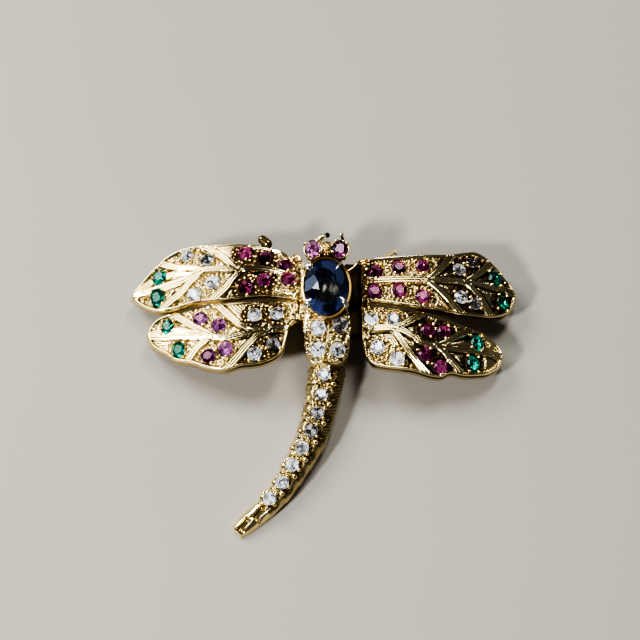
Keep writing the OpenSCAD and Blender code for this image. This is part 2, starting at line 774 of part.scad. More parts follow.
// Hinge, pin stem and catch, as one plain piece behind the wings.
stem_z = barrel_d / 2;
hinge_l = 2.6;
catch_w = 1.5;
point_l = 1.6;
lug_w = 0.8;
lug_d = 1.05;
lug_turn = -40;
lug_top = upper_root_z - 0.35;
lug_y = wing_chord * edge_at(WINGS[0], (hinge_x - left_root) / upper_left_span, LEAD) + 0.7;
slot_h = 0.3;
// The lever is a thin hooked strip on a post: its points count from the catch and the wing's front edge.
lever = [[-1.05, 0.28], [0.05, 1.24], [0.42, 0.92], [0.30, 0.66], [0.06, 0.86], [-0.65, 0.20]];
lever_h = 0.4;
lever_post = 0.5;
lever_z = upper_root_z - 1;
lever_y = wing_chord * edge_at(WINGS[1], (catch_x - right_root) / upper_right_span, LEAD);
module post(x, l) {
    translate([x - pad_w / 2, pad_y, stem_z])
        cube([pad_w, l, pad_z - seat_gap - stem_z]);
}

module pin_fitting() {
    color("darkgoldenrod")
        placed() {
            // Hinge barrel, running forward to the lug behind the wing's leading edge.
            post(-hinge_x, pad_l);
            translate([-hinge_x, pin_y - hinge_l / 2, stem_z])
                rotate([-90, 0, 0])
                    cylinder(d = barrel_d, h = lug_y - pin_y + hinge_l / 2, $fn = 48);
            translate([-hinge_x - lug_w / 2, lug_y - lug_d / 2, stem_z])
                cube([lug_w, lug_d, lug_top - stem_z]);
            translate([-hinge_x, lug_y, lug_top])
                rotate([0, 90, lug_turn]) {
                    translate([0, 0, -lug_w / 2])
                        cylinder(d = lug_d, h = lug_w, $fn = 32);
                    for (end = [-1, 1])
                        translate([0, 0, end * lug_w / 2])
                            sphere(d = lug_d, $fn = 32);
                }
            // Stem and its point.
            translate([-hinge_x, pin_y, stem_z])
                rotate([0, 90, 0])
                    cylinder(d = stem_d, h = hinge_x + catch_x + catch_w, $fn = 32);
            translate([catch_x + catch_w, pin_y, stem_z])
                rotate([0, 90, 0])
                    cylinder(d1 = stem_d, d2 = stem_d * 0.2, h = point_l, $fn = 32);
            // Catch with its slot, and the lever that shows over the wing's edge.
            post(catch_x, pad_l / 2);
            difference() {
                translate([catch_x - catch_w / 2, pin_y, stem_z])
                    rotate([0, 90, 0])
                        cylinder(d = barrel_d, h = catch_w, $fn = 48);
                translate([catch_x - catch_w, pin_y, stem_z + stem_d / 2])
                    cube([catch_w * 2, barrel_d, slot_h]);
            }
            translate([catch_x - lever_post * 2, lever_y + stone_gap * 4, stem_z])
                cube([lever_post, lever_post, lever_z - stem_z]);
            translate([catch_x, lever_y, lever_z - lever_h / 2])
                linear_extrude(lever_h)
                    polygon(lever);
        }
}

// Stones.
module sapphire() {
    color("midnightblue")
        placed()
            on_surface(sapphire_place)
                cut_stone(sapphire_w, sapphire_l, SAPPHIRE_CUT);
}

module eye(side) {
    color("orchid")
        placed()
            on_surface(eye_place(side))
                cut_stone(eye_w, eye_l, EYE_CUT);
}

module stones(places, colour) {
    color(colour)
        placed()
            for (s = places)
                on_surface(s[0])
                    cut_stone(s[1], s[2]);
}

// Single stones: name, place and colour.
function numbered(name, places, colour) =
    [for (k = [0:len(places) - 1]) [str(name, "_", k + 1), places[k], colour]];
SINGLES = concat(
    [for (i = [0:3]) each numbered(str("diamond_", WING_NAMES[i]), diamond_places(i), "white")],
    [for (i = [0:3]) each numbered(str("emerald_", WING_NAMES[i]), emerald_places(i), "seagreen")],
    numbered("diamond_shield", shield_places(), "white"),
    numbered("diamond_tail", tail_places(), "white"));

gold_frame();
pin_fitting();
sapphire();
eye(-1);  // eye_left
eye(1);  // eye_right
for (i = [0:3])
    stones(ruby_places(i), "crimson");
for (s = SINGLES)
    stones([s[1]], s[2]);
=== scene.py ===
# %% [markdown]
# # A jewelled dragonfly brooch
#
# A dragonfly of yellow gold lies face up. Four engraved wings, a tail that curves to one side, a big dark
# blue stone on the thorax and fifty-eight small stones make it up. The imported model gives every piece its
# place and size. This script gives each one its final shape and finish.
#
# Jewellery is built here from heights. A goldsmith starts from a plain sheet of metal and then raises veins,
# cuts grooves and drills seats. In the same way a plain sheet of points is made first, and one function after
# another then moves the points up or down.

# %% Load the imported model
import math

import bmesh
import bpy
import numpy as np
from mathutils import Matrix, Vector


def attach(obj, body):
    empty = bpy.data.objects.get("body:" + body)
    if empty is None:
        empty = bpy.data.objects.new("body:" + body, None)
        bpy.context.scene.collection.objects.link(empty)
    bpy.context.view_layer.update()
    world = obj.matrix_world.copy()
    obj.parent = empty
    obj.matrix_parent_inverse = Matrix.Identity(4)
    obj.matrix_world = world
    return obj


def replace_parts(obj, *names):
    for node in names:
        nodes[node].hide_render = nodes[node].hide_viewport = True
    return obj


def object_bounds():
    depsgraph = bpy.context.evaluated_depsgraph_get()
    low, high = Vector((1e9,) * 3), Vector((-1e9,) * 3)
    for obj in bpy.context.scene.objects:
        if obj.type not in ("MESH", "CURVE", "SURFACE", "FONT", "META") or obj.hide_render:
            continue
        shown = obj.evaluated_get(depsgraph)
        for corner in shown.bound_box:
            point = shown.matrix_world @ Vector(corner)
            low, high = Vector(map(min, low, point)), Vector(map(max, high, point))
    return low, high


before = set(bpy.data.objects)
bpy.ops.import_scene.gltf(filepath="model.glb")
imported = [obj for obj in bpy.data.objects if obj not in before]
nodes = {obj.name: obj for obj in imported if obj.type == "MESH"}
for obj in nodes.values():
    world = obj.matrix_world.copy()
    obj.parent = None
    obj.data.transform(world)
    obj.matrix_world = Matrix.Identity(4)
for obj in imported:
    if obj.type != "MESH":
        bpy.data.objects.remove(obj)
cad_box = [list(corner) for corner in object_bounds()]
print("nodes", len(nodes), "box in mm", [[round(v * 1000, 2) for v in corner] for corner in cad_box])

# %% [markdown]
# ## Millimetres
#
# A jeweller thinks in millimetres and Blender in metres, so sizes are written in millimetres and shrunk at
# the last moment, where a mesh is made. Each small helper below does one thing to numbers or to meshes.

# %% Helpers for meshes
MM = 0.001


def keep(obj, name):
    """Puts a finished object in the scene and lets it move with the brooch."""
    obj.name = name
    if obj.name not in bpy.context.scene.collection.objects:
        bpy.context.scene.collection.objects.link(obj)
    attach(obj, "root")
    return obj


def mesh_object(name, points, faces, material, smooth=True, marks=None):
    """An object from points in millimetres, with numbers per point such as how hollow the metal is there."""
    mesh = bpy.data.meshes.new(name)
    mesh.from_pydata((np.asarray(points) * MM).tolist(), [], faces)
    for mark, values in (marks or {}).items():
        layer = mesh.attributes.new(mark, "FLOAT", "POINT")
        layer.data.foreach_set("value", np.asarray(values, dtype=np.float32).ravel())
    mesh.polygons.foreach_set("use_smooth", [smooth] * len(mesh.polygons))
    mesh.materials.append(material)
    return bpy.data.objects.new(name, mesh)


def turn_outwards(obj):
    """Makes all faces of a closed mesh point outwards."""
    work = bmesh.new()
    work.from_mesh(obj.data)
    bmesh.ops.recalc_face_normals(work, faces=work.faces)
    work.to_mesh(obj.data)
    work.free()


def tube_faces(rows, sides):
    """Faces of a skin over rows of rings, closed by a fan of triangles over each end."""
    first, last = rows * sides, rows * sides + 1
    r, k = np.meshgrid(np.arange(rows - 1), np.arange(sides), indexing="ij")
    a, b = r * sides + k, r * sides + (k + 1) % sides
    quads = np.stack([a, b, b + sides, a + sides], axis=-1).reshape(-1, 4).tolist()
    near = [[first, (n + 1) % sides, n] for n in range(sides)]
    far = [[last, (rows - 1) * sides + n, (rows - 1) * sides + (n + 1) % sides] for n in range(sides)]
    return quads + near + far


def skin(name, rings, material, marks=None):
    """A closed object over rings of points."""
    rings = np.asarray(rings, dtype=float)
    rows, sides, _ = rings.shape
    points = np.vstack([rings.reshape(-1, 3), rings[0].mean(axis=0), rings[-1].mean(axis=0)])
    marks = {m: np.append(np.ravel(v), [0.0, 0.0]) for m, v in (marks or {}).items()}
    obj = mesh_object(name, points, tube_faces(rows, sides), material, marks=marks)
    turn_outwards(obj)
    return obj


# %% Helpers for numbers
def smooth_rows(rows, per_row):
    """More rows along a smooth curve through the given ones."""
    rows = np.asarray(rows, dtype=float)
    padded = np.vstack([rows[0], rows, rows[-1]])
    out = []
    for i in range(len(rows) - 1):
        a, b, c, d = padded[i:i + 4]
        for u in np.arange(per_row) / per_row:
            out.append(b + (c - a) * u / 2 + (2 * a - 5 * b + 4 * c - d) * u * u / 2
                       + (3 * b - a - 3 * c + d) * u ** 3 / 2)
    return np.array(out + [rows[-1]])


def ease(low, high, x):
    """0 below low, 1 above high, and a soft step between them."""
    t = np.clip((x - low) / (high - low), 0, 1)
    return t * t * (3 - 2 * t)


def bell(x, width):
    """1 at 0, falling off softly within the width."""
    return np.exp(-(x / width) ** 2)


def nearest(x, y, line):
    """Distance from each point to a line of points, and the share along it of the nearest place."""
    line = np.asarray(line, dtype=float)
    steps = np.diff(line, axis=0)
    lengths = np.hypot(steps[:, 0], steps[:, 1])
    run = np.concatenate([[0], np.cumsum(lengths)])
    best = np.full(x.shape, 1e9)
    share = np.zeros(x.shape)
    for (ax, ay), (sx, sy), length, start in zip(line, steps, lengths, run):
        t = np.clip(((x - ax) * sx + (y - ay) * sy) / max(length ** 2, 1e-12), 0, 1)
        d = np.hypot(x - ax - t * sx, y - ay - t * sy)
        closer = d < best
        best = np.where(closer, d, best)
        share = np.where(closer, (start + t * length) / run[-1], share)
    return best, share


def full_turn(count):
    """Angles evenly round a circle."""
    return np.linspace(0, 2 * np.pi, count + 1)[:-1]


def round_end(x, start, length, least):
    """1 along a shape, falling in a round curve over the last length of it."""
    return np.sqrt(np.clip(1 - np.clip((x - start) / length, 0, 1) ** 2.2, least, 1))


PEBBLE_CELLS, PEBBLE_REACH = 64, 0.62  # cells before the pattern repeats, a bump's radius in cells
PEBBLE_EDGE, PEBBLE_STRAY = 0.15, 0.7  # a bump's middle keeps off the cell's edge and strays this far
PEBBLE_LOW, PEBBLE_SPREAD = 0.55, 0.45  # the lowest bump, and how much higher the highest is


def pebbles(x, y, size, seed):
    """Round bumps of about one size on a jittered grid, from 0 between them to 1 on top."""
    gx, gy = np.floor(x / size).astype(int), np.floor(y / size).astype(int)
    jitter = np.random.default_rng(seed).random((PEBBLE_CELLS, PEBBLE_CELLS, 3))
    top = np.zeros(x.shape)
    for ox in (-1, 0, 1):
        for oy in (-1, 0, 1):
            j = jitter[(gx + ox) % PEBBLE_CELLS, (gy + oy) % PEBBLE_CELLS]
            d = np.hypot(gx + ox + PEBBLE_EDGE + PEBBLE_STRAY * j[..., 0] - x / size,
                         gy + oy + PEBBLE_EDGE + PEBBLE_STRAY * j[..., 1] - y / size)
            bump = (PEBBLE_LOW + PEBBLE_SPREAD * j[..., 2]) * np.clip(1 - (d / PEBBLE_REACH) ** 2, 0, 1)
            top = np.maximum(top, bump)
    return top


def soften(heights, reach):
    """Each height averaged with its neighbours over a number of rows and columns."""
    for axis in (0, 1):
        total = sum(np.roll(heights, s, axis=axis) for s in range(-reach, reach + 1))
        heights = total / (2 * reach + 1)
    return heights


HOLLOW_REACH = 5  # rows and columns that count as a place's surroundings


def hollows(heights, depth=0.055):
    """How hollow a place is against its surroundings, from 0 to 1, and the same for how raised it is."""
    change = soften(heights, HOLLOW_REACH) - heights
    return np.clip(change / depth, 0, 1), np.clip(-change / depth, 0, 1)


# %% [markdown]
# ## Where the stones are
#
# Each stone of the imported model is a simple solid: a table, a crown, a girdle and a pointed bottom. Its table
# is the largest flat face, so the stone's middle, its tilt and its size can be read off the solid. The seats in
# the metal and the finely cut stones are then both made at exactly these places.

# %% Read the stones' places
CROWN_SHARE, PAVILION_SHARE, GIRDLE_SHARE = 0.17, 0.42, 0.045  # heights as shares of a stone's width
SAME_PLACE, SAME_PLANE = 1e-7, 0.9998  # metres between two points, cosine between two faces
WIDEST_SMALL_STONE = 1.9


def loose_solids(node):
    """The faces of each separate solid of a node."""
    work = bmesh.new()
    work.from_mesh(node.data)
    bmesh.ops.remove_doubles(work, verts=work.verts, dist=SAME_PLACE)
    work.normal_update()
    waiting = dict.fromkeys(work.faces)  # a dict keeps its order, so each run finds the stones alike
    while waiting:
        group, edge = [], [waiting.popitem()[0]]
        while edge:
            face = edge.pop()
            group.append(face)
            for corner in face.verts:
                for other in corner.link_faces:
                    if other in waiting:
                        del waiting[other]
                        edge.append(other)
        yield group
    work.free()


def flat_parts(faces):
    """Groups of faces that lie in one plane, the largest first."""
    groups = []
    for face in faces:
        for group in groups:
            if face.normal.dot(group[0].normal) > SAME_PLANE:
                group.append(face)
                break
        else:
            groups.append([face])
    return sorted(groups, key=lambda group: -sum(f.calc_area() for f in group))


def read_stone(node, faces):
    """One stone: the middle of its girdle, its turn, its width and its length."""
    table = flat_parts(faces)[0]
    normal = table[0].normal.normalized()
    rim = dict.fromkeys(v for f in table for v in f.verts)
    centre = sum((v.co for v in rim), Vector()) / len(rim) / MM
    turn = Vector((0, 0, 1)).rotation_difference(normal).to_matrix()
    local = np.array([list(turn.inverted() @ (v.co / MM - centre)) for f in faces for v in f.verts])
    width, length = np.ptp(local[:, 0]), np.ptp(local[:, 1])
    centre = centre - normal * CROWN_SHARE * width
    return {"node": node.name, "at": np.array(centre), "turn": np.array(turn), "w": width, "l": length}


STONE_NODES = [name for name in sorted(nodes) if name not in ("gold_frame", "pin_fitting")]
stones = [read_stone(nodes[name], faces) for name in STONE_NODES for faces in loose_solids(nodes[name])]
stones.sort(key=lambda s: (s["node"], round(s["at"][0], 2)))
big_stone = next(s for s in stones if s["node"] == "sapphire")
eye_stones = [s for s in stones if s["node"].startswith("eye")]
small_stones = [s for s in stones if s["w"] < WIDEST_SMALL_STONE and s not in eye_stones]
HERE = big_stone["at"] * [1, 1, 0]
print(len(stones), "stones, the big one", round(big_stone["w"], 2), "by", round(big_stone["l"], 2), "mm")

# %% [markdown]
# ## Shader sums
#
# A finish is a graph of nodes, and a graph is easier to read as sums. `Value` wraps one output, and the signs
# + - * on it add Math nodes, also where a plain number stands first. `Tree.add` makes any other node: its kind,
# its settings and what goes into it.

# %% A small language for node trees
class Value:
    """One output in a node tree, on which Python's signs do sums."""

    def __init__(self, tree, socket):
        self.tree = tree
        self.socket = socket

    def math(self, operation, first, second):
        return self.tree.add("ShaderNodeMath", {"operation": operation}, {0: first, 1: second})

    def __add__(self, other):
        return self.math("ADD", self, other)

    def __sub__(self, other):
        return self.math("SUBTRACT", self, other)

    def __rsub__(self, other):
        return self.math("SUBTRACT", other, self)

    def __mul__(self, other):
        return self.math("MULTIPLY", self, other)

    __radd__ = __add__
    __rmul__ = __mul__


class Tree:
    """A node tree that is built one call at a time."""

    def __init__(self, tree):
        self.tree = tree

    def add(self, kind, settings=None, values=None, output=0):
        node = self.tree.nodes.new(kind)
        for name, setting in (settings or {}).items():
            setattr(node, name, setting)
        for name, value in (values or {}).items():
            self.feed(node.inputs[name], value)
        return Value(self, node.outputs[output])

    def feed(self, socket, value):
        if isinstance(value, Value):
            self.tree.links.new(value.socket, socket)
        else:
            socket.default_value = value


class Finish(Tree):
    """A material whose surface is Blender's main shader."""

    def __init__(self, name, **constants):
        self.material = bpy.data.materials.new(name)
        self.material.use_nodes = True
        super().__init__(self.material.node_tree)
        self.shader = self.tree.nodes["Principled BSDF"]
        for socket, value in constants.items():
            self.feed(self.shader.inputs[socket.replace("_", " ")], value)

    def place(self):
        return self.add("ShaderNodeTexCoord", output="Object")

    def noise(self, scale, detail, rough=0.5):
        return self.add("ShaderNodeTexNoise", {}, {
            "Vector": self.place(), "Scale": scale, "Detail": detail, "Roughness": rough}, "Fac")

    def patches(self, scale):
        return self.add("ShaderNodeTexVoronoi", {}, {"Vector": self.place(), "Scale": scale}, "Color")

    def mark(self, name):
        return self.add("ShaderNodeAttribute", {"attribute_name": name}, output="Fac")

    def blend(self, share, first, second):
        return self.add("ShaderNodeMix", {"data_type": "RGBA", "clamp_factor": True},
                        {0: share, 6: first, 7: second}, 2)

    def bump(self, height, strength, distance):
        return self.add("ShaderNodeBump", {}, {
            "Height": height, "Strength": strength, "Distance": distance}, "Normal")


# %% [markdown]
# ## Gold
#
# Eighteen carat yellow gold is polished where fingers and cloth reach it, and dull and brown where they don't.
# Most gold meshes carry two marks, how hollow and how raised each place is, measured from their own heights. The
# finish reads them: a hollow place gets a browner colour, partly patina and partly painted shade, and a rougher
# surface, and a raised one the clean bright metal, partly a painted highlight. Painted shade is added to the first
# mark on some sides and roots that lie in shade. A third mark, `shade`, is painted shade: it darkens the metal's
# colour where the photograph shows it deep in shade but as smooth as before. A fine cloud of noise breaks up the
# polish, and faint bumps stand for the file and the burnisher.
#
# One function makes six golds. The wings, shield, tail and head are of the polished one, and the thorax and the
# curls beside it of a warmer one. The claws are nearly white, the pin is plain and darkened with painted shade,
# the neck and the web are painted almost black as shade, and the brow between the eyes is reddish and a little
# darkened with painted shade.

# %% Gold finishes
GOLD = (0.89, 0.68, 0.285, 1)
PALE_GOLD = (1.0, 0.91, 0.56, 1)
WHITE_GOLD = (1.0, 0.97, 0.88, 1)
RED_GOLD = (0.85, 0.48, 0.16, 1)
# Near black, for painted shade.
BLACK_GOLD = (0.011, 0.007, 0.004, 1)
WARM_GOLD = (0.80, 0.52, 0.16, 1)
YELLOW_GOLD = (0.94, 0.76, 0.38, 1)
# Brown for patina in the hollows and for painted shade.
SHADE_AND_PATINA_GOLD = (0.050, 0.030, 0.012, 1)
CLOUDS, ROUGH_CLOUD, ROUGH_GRAIN = 420, 0.06, 0.04  # how fine the clouds are, and what noise adds to the polish
HIGH_IF_RAISED, HIGH_IF_CLOUDY, DARK_IF_HOLLOW = 0.6, 0.35, 0.88
DULL = 0.40  # roughness of the hollows
MARK_STRENGTH, MARK_DEPTH = 0.16, 0.03 * MM


def gold_finish(name, low=GOLD, high=PALE_GOLD, shine=0.10, grain=2200, painted_dark=0.0, darkest=SHADE_AND_PATINA_GOLD):
    """Gold between two colours, with its polish, its rough brown hollows, its tool marks and its painted shade."""
    f = Finish(name, Metallic=1.0)
    hollow = f.mark("hollow")
    raised = f.mark("raised")
    shade = f.mark("shade")
    cloud = f.noise(CLOUDS, 4.0, 0.6)
    fine = f.noise(grain, 3.0, 0.55)
    # Raised places get the paler colour: clean metal, and partly a painted highlight.
    body = f.blend(raised * HIGH_IF_RAISED + cloud * HIGH_IF_CLOUDY, low, high)
    least = shine - (ROUGH_CLOUD + ROUGH_GRAIN) / 2
    # Painted shade: shade and darkening pull the colour to the darkest one, and so do hollows, partly as patina.
    f.feed(f.shader.inputs["Base Color"], f.blend(hollow * DARK_IF_HOLLOW + shade + painted_dark, body, darkest))
    rough = hollow * (DULL - shine) + cloud * ROUGH_CLOUD + fine * ROUGH_GRAIN + least
    f.feed(f.shader.inputs["Roughness"], rough)
    f.feed(f.shader.inputs["Normal"], f.bump(fine + cloud, MARK_STRENGTH, MARK_DEPTH))
    return f.material


polished = gold_finish("polished_gold")
warm_gold = gold_finish("warm_gold", low=WARM_GOLD, high=YELLOW_GOLD)
white_gold = gold_finish("white_gold", low=PALE_GOLD, high=WHITE_GOLD, shine=0.09)
# Painted shade darkens the plain, the dark and the red gold.
plain_gold = gold_finish("plain_gold", shine=0.20, grain=1600, painted_dark=0.82)
dark_gold = gold_finish("dark_gold", shine=0.42, grain=1600, painted_dark=1.0, darkest=BLACK_GOLD)
red_gold = gold_finish("red_gold", low=RED_GOLD, high=GOLD, shine=0.16, painted_dark=0.22)
golds = (polished, warm_gold, white_gold, plain_gold, dark_gold, red_gold)
print("gold finishes", ", ".join(gold.name for gold in golds))

# %% [markdown]
# ## Cut stones
#
# A round brilliant has a table, eight star, eight kite and sixteen girdle facets above, and eight mains with
# sixteen more below. Real stones glitter because light goes in, bounces off the facets below and comes out.
# The shader does just that: clear coloured glass above, and a mirror on the facets below, as old jewellers
# laid foil under a stone. A mark on the mesh, `back`, says which facets lie below. The foil is painted patchy,
# light and dark by turns, as painted sparkle, because a lively stone shows white sparks beside dark ones, and its
# light patches glow a little, a painted glow. A second mark darkens some stones against their neighbours as
# painted shade. Below 0 it makes a stone brighter, as painted light.

# %% Stone finishes
SPARK_GAIN, SPARK_CUT = 4.2, 1.6  # these turn patches of every grey into mostly dark and mostly bright ones
STONE_CLOUDS = 700  # how fine the clouds in the clear part are


def stone_finish(name, pale, deep, foil, shaded_colour, bend, tint, glow, soft=0.13, patch=3000, shade=0.3):
    """A clear coloured stone that bends light by its own amount, a patchy mirror below, painted glow and shade."""
    f = Finish(name, IOR=bend, Transmission_Weight=1.0, Specular_Tint=tint, Emission_Strength=glow)
    back = f.mark("back")
    tone = f.mark("tone")
    spark = f.patches(patch) * SPARK_GAIN - SPARK_CUT
    dim = tuple(shade * c for c in foil[:3]) + (1,)
    light = f.blend(back, f.blend(f.noise(STONE_CLOUDS, 2.0), pale, deep), f.blend(spark, dim, foil))
    # Painted shade: the second mark darkens a stone towards its darker colour.
    f.feed(f.shader.inputs["Base Color"], f.blend(tone, light, shaded_colour))
    # Painted glow: the light patches of the foil give off a little light.
    f.feed(f.shader.inputs["Emission Color"], f.blend(back * (spark - tone), (0, 0, 0, 1), foil))
    f.feed(f.shader.inputs["Metallic"], back)
    f.feed(f.shader.inputs["Roughness"], back * soft + 0.02)
    return f.material


RUBY_GLOSS, GREEN_GLOSS = (0.32, 0.16, 0.26, 1), (0.20, 0.36, 0.32, 1)
# The colour a ruby darkens to under painted shade.
RUBY_SHADED = (0.20, 0.025, 0.14, 1)
STONE_FINISHES = {
    "sapphire": stone_finish("sapphire_blue", (0.065, 0.090, 0.22, 1), (0.030, 0.046, 0.135, 1),
                             (0.30, 0.35, 0.48, 1), (0.01, 0.01, 0.05, 1), 1.77, (0.66, 0.70, 0.80, 1),
                             glow=0.34, soft=0.15, patch=900),
    "eye": stone_finish("pink_violet", (0.94, 0.60, 0.86, 1), (0.86, 0.44, 0.76, 1), (0.94, 0.66, 0.90, 1),
                        (0.40, 0.14, 0.34, 1), 1.77, (0.5, 0.35, 0.5, 1), glow=0.16, patch=1500, shade=0.5),
    "ruby": stone_finish("ruby_pink", (0.88, 0.34, 0.62, 1), (0.66, 0.12, 0.36, 1), (0.92, 0.48, 0.72, 1),
                         RUBY_SHADED, 1.77, RUBY_GLOSS, glow=0.18, shade=0.4),
    "ruby_lower_left": stone_finish("ruby_violet", (0.86, 0.52, 0.84, 1), (0.66, 0.26, 0.60, 1),
                                    (0.90, 0.64, 0.90, 1), RUBY_SHADED, 1.77, RUBY_GLOSS, glow=0.22, shade=0.4),
    "emerald": stone_finish("emerald_teal", (0.03, 0.55, 0.47, 1), (0.01, 0.36, 0.31, 1), (0.30, 0.80, 0.74, 1),
                            (0.0, 0.12, 0.06, 1), 1.58, GREEN_GLOSS, glow=0.05, shade=0.4),
    "diamond": stone_finish("diamond_white", (0.99, 0.99, 1.0, 1), (0.95, 0.96, 0.99, 1), (0.97, 0.98, 1.0, 1),
                            (0.34, 0.29, 0.28, 1), 1.9, (0.85, 0.88, 0.92, 1), glow=0.64, soft=0.10,
                            patch=3600, shade=0.22),
}
# Painted shade on single stones, from left to right; below 0 it is painted light instead.
PAINTED_SHADES = {  # how dusky each stone of a node is, from left to right; below 0 it is brighter
    "ruby_upper_left": [0.0, 0.25, 0.1, 0.4, 0.65, 0.2], "ruby_upper_right": [0.55, 0.55, 0.0, 0.2, 0.1, 0.3],
    "ruby_lower_left": [0.15, 0.4, 0.2, 0.0], "ruby_lower_right": [0.4, 0.35, 0.2, 0.5],
    "diamond_upper_right_1": [0.8], "diamond_upper_right_2": [0.75], "diamond_upper_right_3": [0.3],
    "diamond_upper_right_4": [0.75], "diamond_lower_right_2": [0.3], "diamond_lower_left_1": [0.2],
    "diamond_lower_left_2": [0.3], "diamond_lower_left_3": [0.1], "diamond_lower_left_4": [0.7],
    "diamond_shield_1": [-0.4], "diamond_shield_2": [0.7], "diamond_shield_4": [0.3],
    "diamond_tail_2": [0.4], "diamond_tail_3": [0.45], "diamond_tail_4": [0.55], "diamond_tail_5": [-0.45],
    "diamond_tail_6": [-0.3], "diamond_tail_7": [-0.4], "diamond_tail_8": [-0.7], "eye_right": [0.85],
    "emerald_upper_right_1": [0.6], "emerald_upper_right_2": [0.5],
}


# %% Brilliant cut
MAINS_SPLIT = 0.24  # share of the radius where the mains below part from the facets under the girdle
SWAY = 4.5  # degrees
BIG_CUT = {"table": 0.40, "star": 0.68, "quarter": -1.0}  # the blue stone has a smaller table


def brilliant(w, l, table=0.57, star=0.79, quarter=0.0):
    """Points and faces of a brilliant cut stone, with the top of its girdle at z = 0."""
    half, crown, deep, girdle = w / 2, CROWN_SHARE * w, PAVILION_SHARE * w, GIRDLE_SHARE * w
    kite = math.cos(math.pi / 8)

    def ring(count, radius, z, start=0.0):
        turns = [2 * math.pi * ((k + start) / count + quarter / 32) for k in range(count)]
        return [(half * radius * math.cos(t), half * radius * math.sin(t) * l / w, z) for t in turns]

    points = (ring(8, table, crown) + ring(8, star, crown * (1 - star * kite) / (1 - table), 0.5)
              + ring(16, 1, 0) + ring(16, 1, -girdle)
              + ring(8, MAINS_SPLIT, -girdle - deep * (1 - MAINS_SPLIT * kite), 0.5)
              + [(0, 0, -girdle - deep)])
    t, s, g, h, p, tip = 0, 8, 16, 32, 48, 56
    faces = [list(range(8))]
    for k in range(8):
        nxt, prev, a, b, c = (k + 1) % 8, (k - 1) % 8, 2 * k, 2 * k + 1, (2 * k + 2) % 16
        faces += [[t + nxt, t + k, s + k], [t + k, s + prev, g + a, s + k],
                  [s + k, g + a, g + b], [s + k, g + b, g + c],
                  [p + k, h + b, h + a], [p + k, h + c, h + b], [tip, p + k, h + a, p + prev],
                  [g + a, h + a, h + b, g + b], [g + b, h + b, h + c, g + c]]
    return points, faces


def sway(most):
    """A small turn about a level axis, because no stone is set quite straight."""
    a, b = np.radians(setting.uniform(-most, most, 2))
    return (np.array([[1, 0, 0], [0, math.cos(a), -math.sin(a)], [0, math.sin(a), math.cos(a)]])
            @ np.array([[math.cos(b), 0, math.sin(b)], [0, 1, 0], [-math.sin(b), 0, math.cos(b)]]))


def cut_stones(name):
    """The finely cut stones of one node, in place."""
    points, faces, back, painted_shades = [], [], [], []
    own = [s for s in stones if s["node"] == name]
    for stone, tone in zip(own, PAINTED_SHADES.get(name, [0.0] * len(own))):
        cut, sides = brilliant(stone["w"], stone["l"], **(BIG_CUT if stone is big_stone else {}))
        start = len(points)
        back += [float(corner[2] < 0) for corner in cut]
        painted_shades += [tone] * len(cut)
        turn = stone["turn"] if stone is big_stone else stone["turn"] @ sway(SWAY)
        points += (np.array(cut) @ turn.T + stone["at"]).tolist()
        faces += [[start + v for v in face] for face in sides]
    finish = STONE_FINISHES.get(name) or STONE_FINISHES[name.split("_")[0]]
    obj = mesh_object("cut_" + name, points, faces, finish, smooth=False,
                      marks={"back": back, "tone": painted_shades})
    turn_outwards(obj)
    return obj


setting = np.random.default_rng(5)
for name in STONE_NODES:
    piece = keep(cut_stones(name), "cut_" + name)
    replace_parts(piece, name)
print(len(STONE_NODES), "nodes of cut stones")

# %% [markdown]
# ## The wings' outlines
#
# Each wing is drawn as a goldsmith draws it, in shares of its length and of one common width: how far the
# front and the back edge lie from the wing's own straight axis, and where its veins run. A smooth curve goes
# through each list. Lengths, heights and tables match those of the solid, so that the stones sit in the
# right panels.

# %% Outlines
CHORD = 8.0  # the common width, of which the edges and the veins are shares
UPPER_LEFT_EDGE = [  # place along the wing, front edge, back edge
    [0.00, 0.44, -0.17], [0.06, 0.55, -0.13], [0.12, 0.66, -0.10], [0.24, 0.75, -0.07], [0.36, 0.80, -0.09],
    [0.48, 0.82, -0.09], [0.60, 0.84, -0.08], [0.70, 0.82, -0.13], [0.77, 0.755, -0.15], [0.83, 0.66, -0.145],
    [0.89, 0.51, -0.09], [0.94, 0.36, -0.01], [0.975, 0.28, 0.06], [1.00, 0.19, 0.11]]
UPPER_RIGHT_EDGE = [
    [0.00, 0.47, -0.20], [0.07, 0.52, -0.17], [0.15, 0.55, -0.18], [0.30, 0.60, -0.21], [0.44, 0.65, -0.23],
    [0.57, 0.69, -0.26], [0.67, 0.755, -0.27], [0.74, 0.785, -0.265], [0.80, 0.735, -0.255],
    [0.87, 0.60, -0.215], [0.93, 0.43, -0.14], [0.975, 0.31, -0.02], [1.00, 0.22, 0.09]]
LOWER_LEFT_EDGE = [
    [0.00, 0.43, 0.09], [0.06, 0.445, -0.02], [0.085, 0.445, -0.24], [0.115, 0.45, -0.41],
    [0.17, 0.45, -0.505], [0.26, 0.45, -0.57], [0.38, 0.45, -0.585], [0.46, 0.45, -0.63], [0.54, 0.45, -0.605],
    [0.61, 0.445, -0.555], [0.67, 0.435, -0.49], [0.74, 0.405, -0.445], [0.81, 0.365, -0.385],
    [0.87, 0.335, -0.275], [0.93, 0.29, -0.185], [0.98, 0.18, -0.08], [1.00, 0.07, 0.00]]
LOWER_RIGHT_EDGE = [
    [0.00, 0.36, -0.15], [0.02, 0.36, -0.43], [0.07, 0.355, -0.59], [0.15, 0.345, -0.635],
    [0.26, 0.325, -0.65], [0.36, 0.305, -0.67], [0.46, 0.27, -0.72], [0.54, 0.235, -0.725],
    [0.61, 0.20, -0.65], [0.70, 0.14, -0.66], [0.78, 0.095, -0.64], [0.86, 0.05, -0.60],
    [0.91, -0.03, -0.54], [0.95, -0.09, -0.48], [0.985, -0.17, -0.39], [1.00, -0.24, -0.32]]

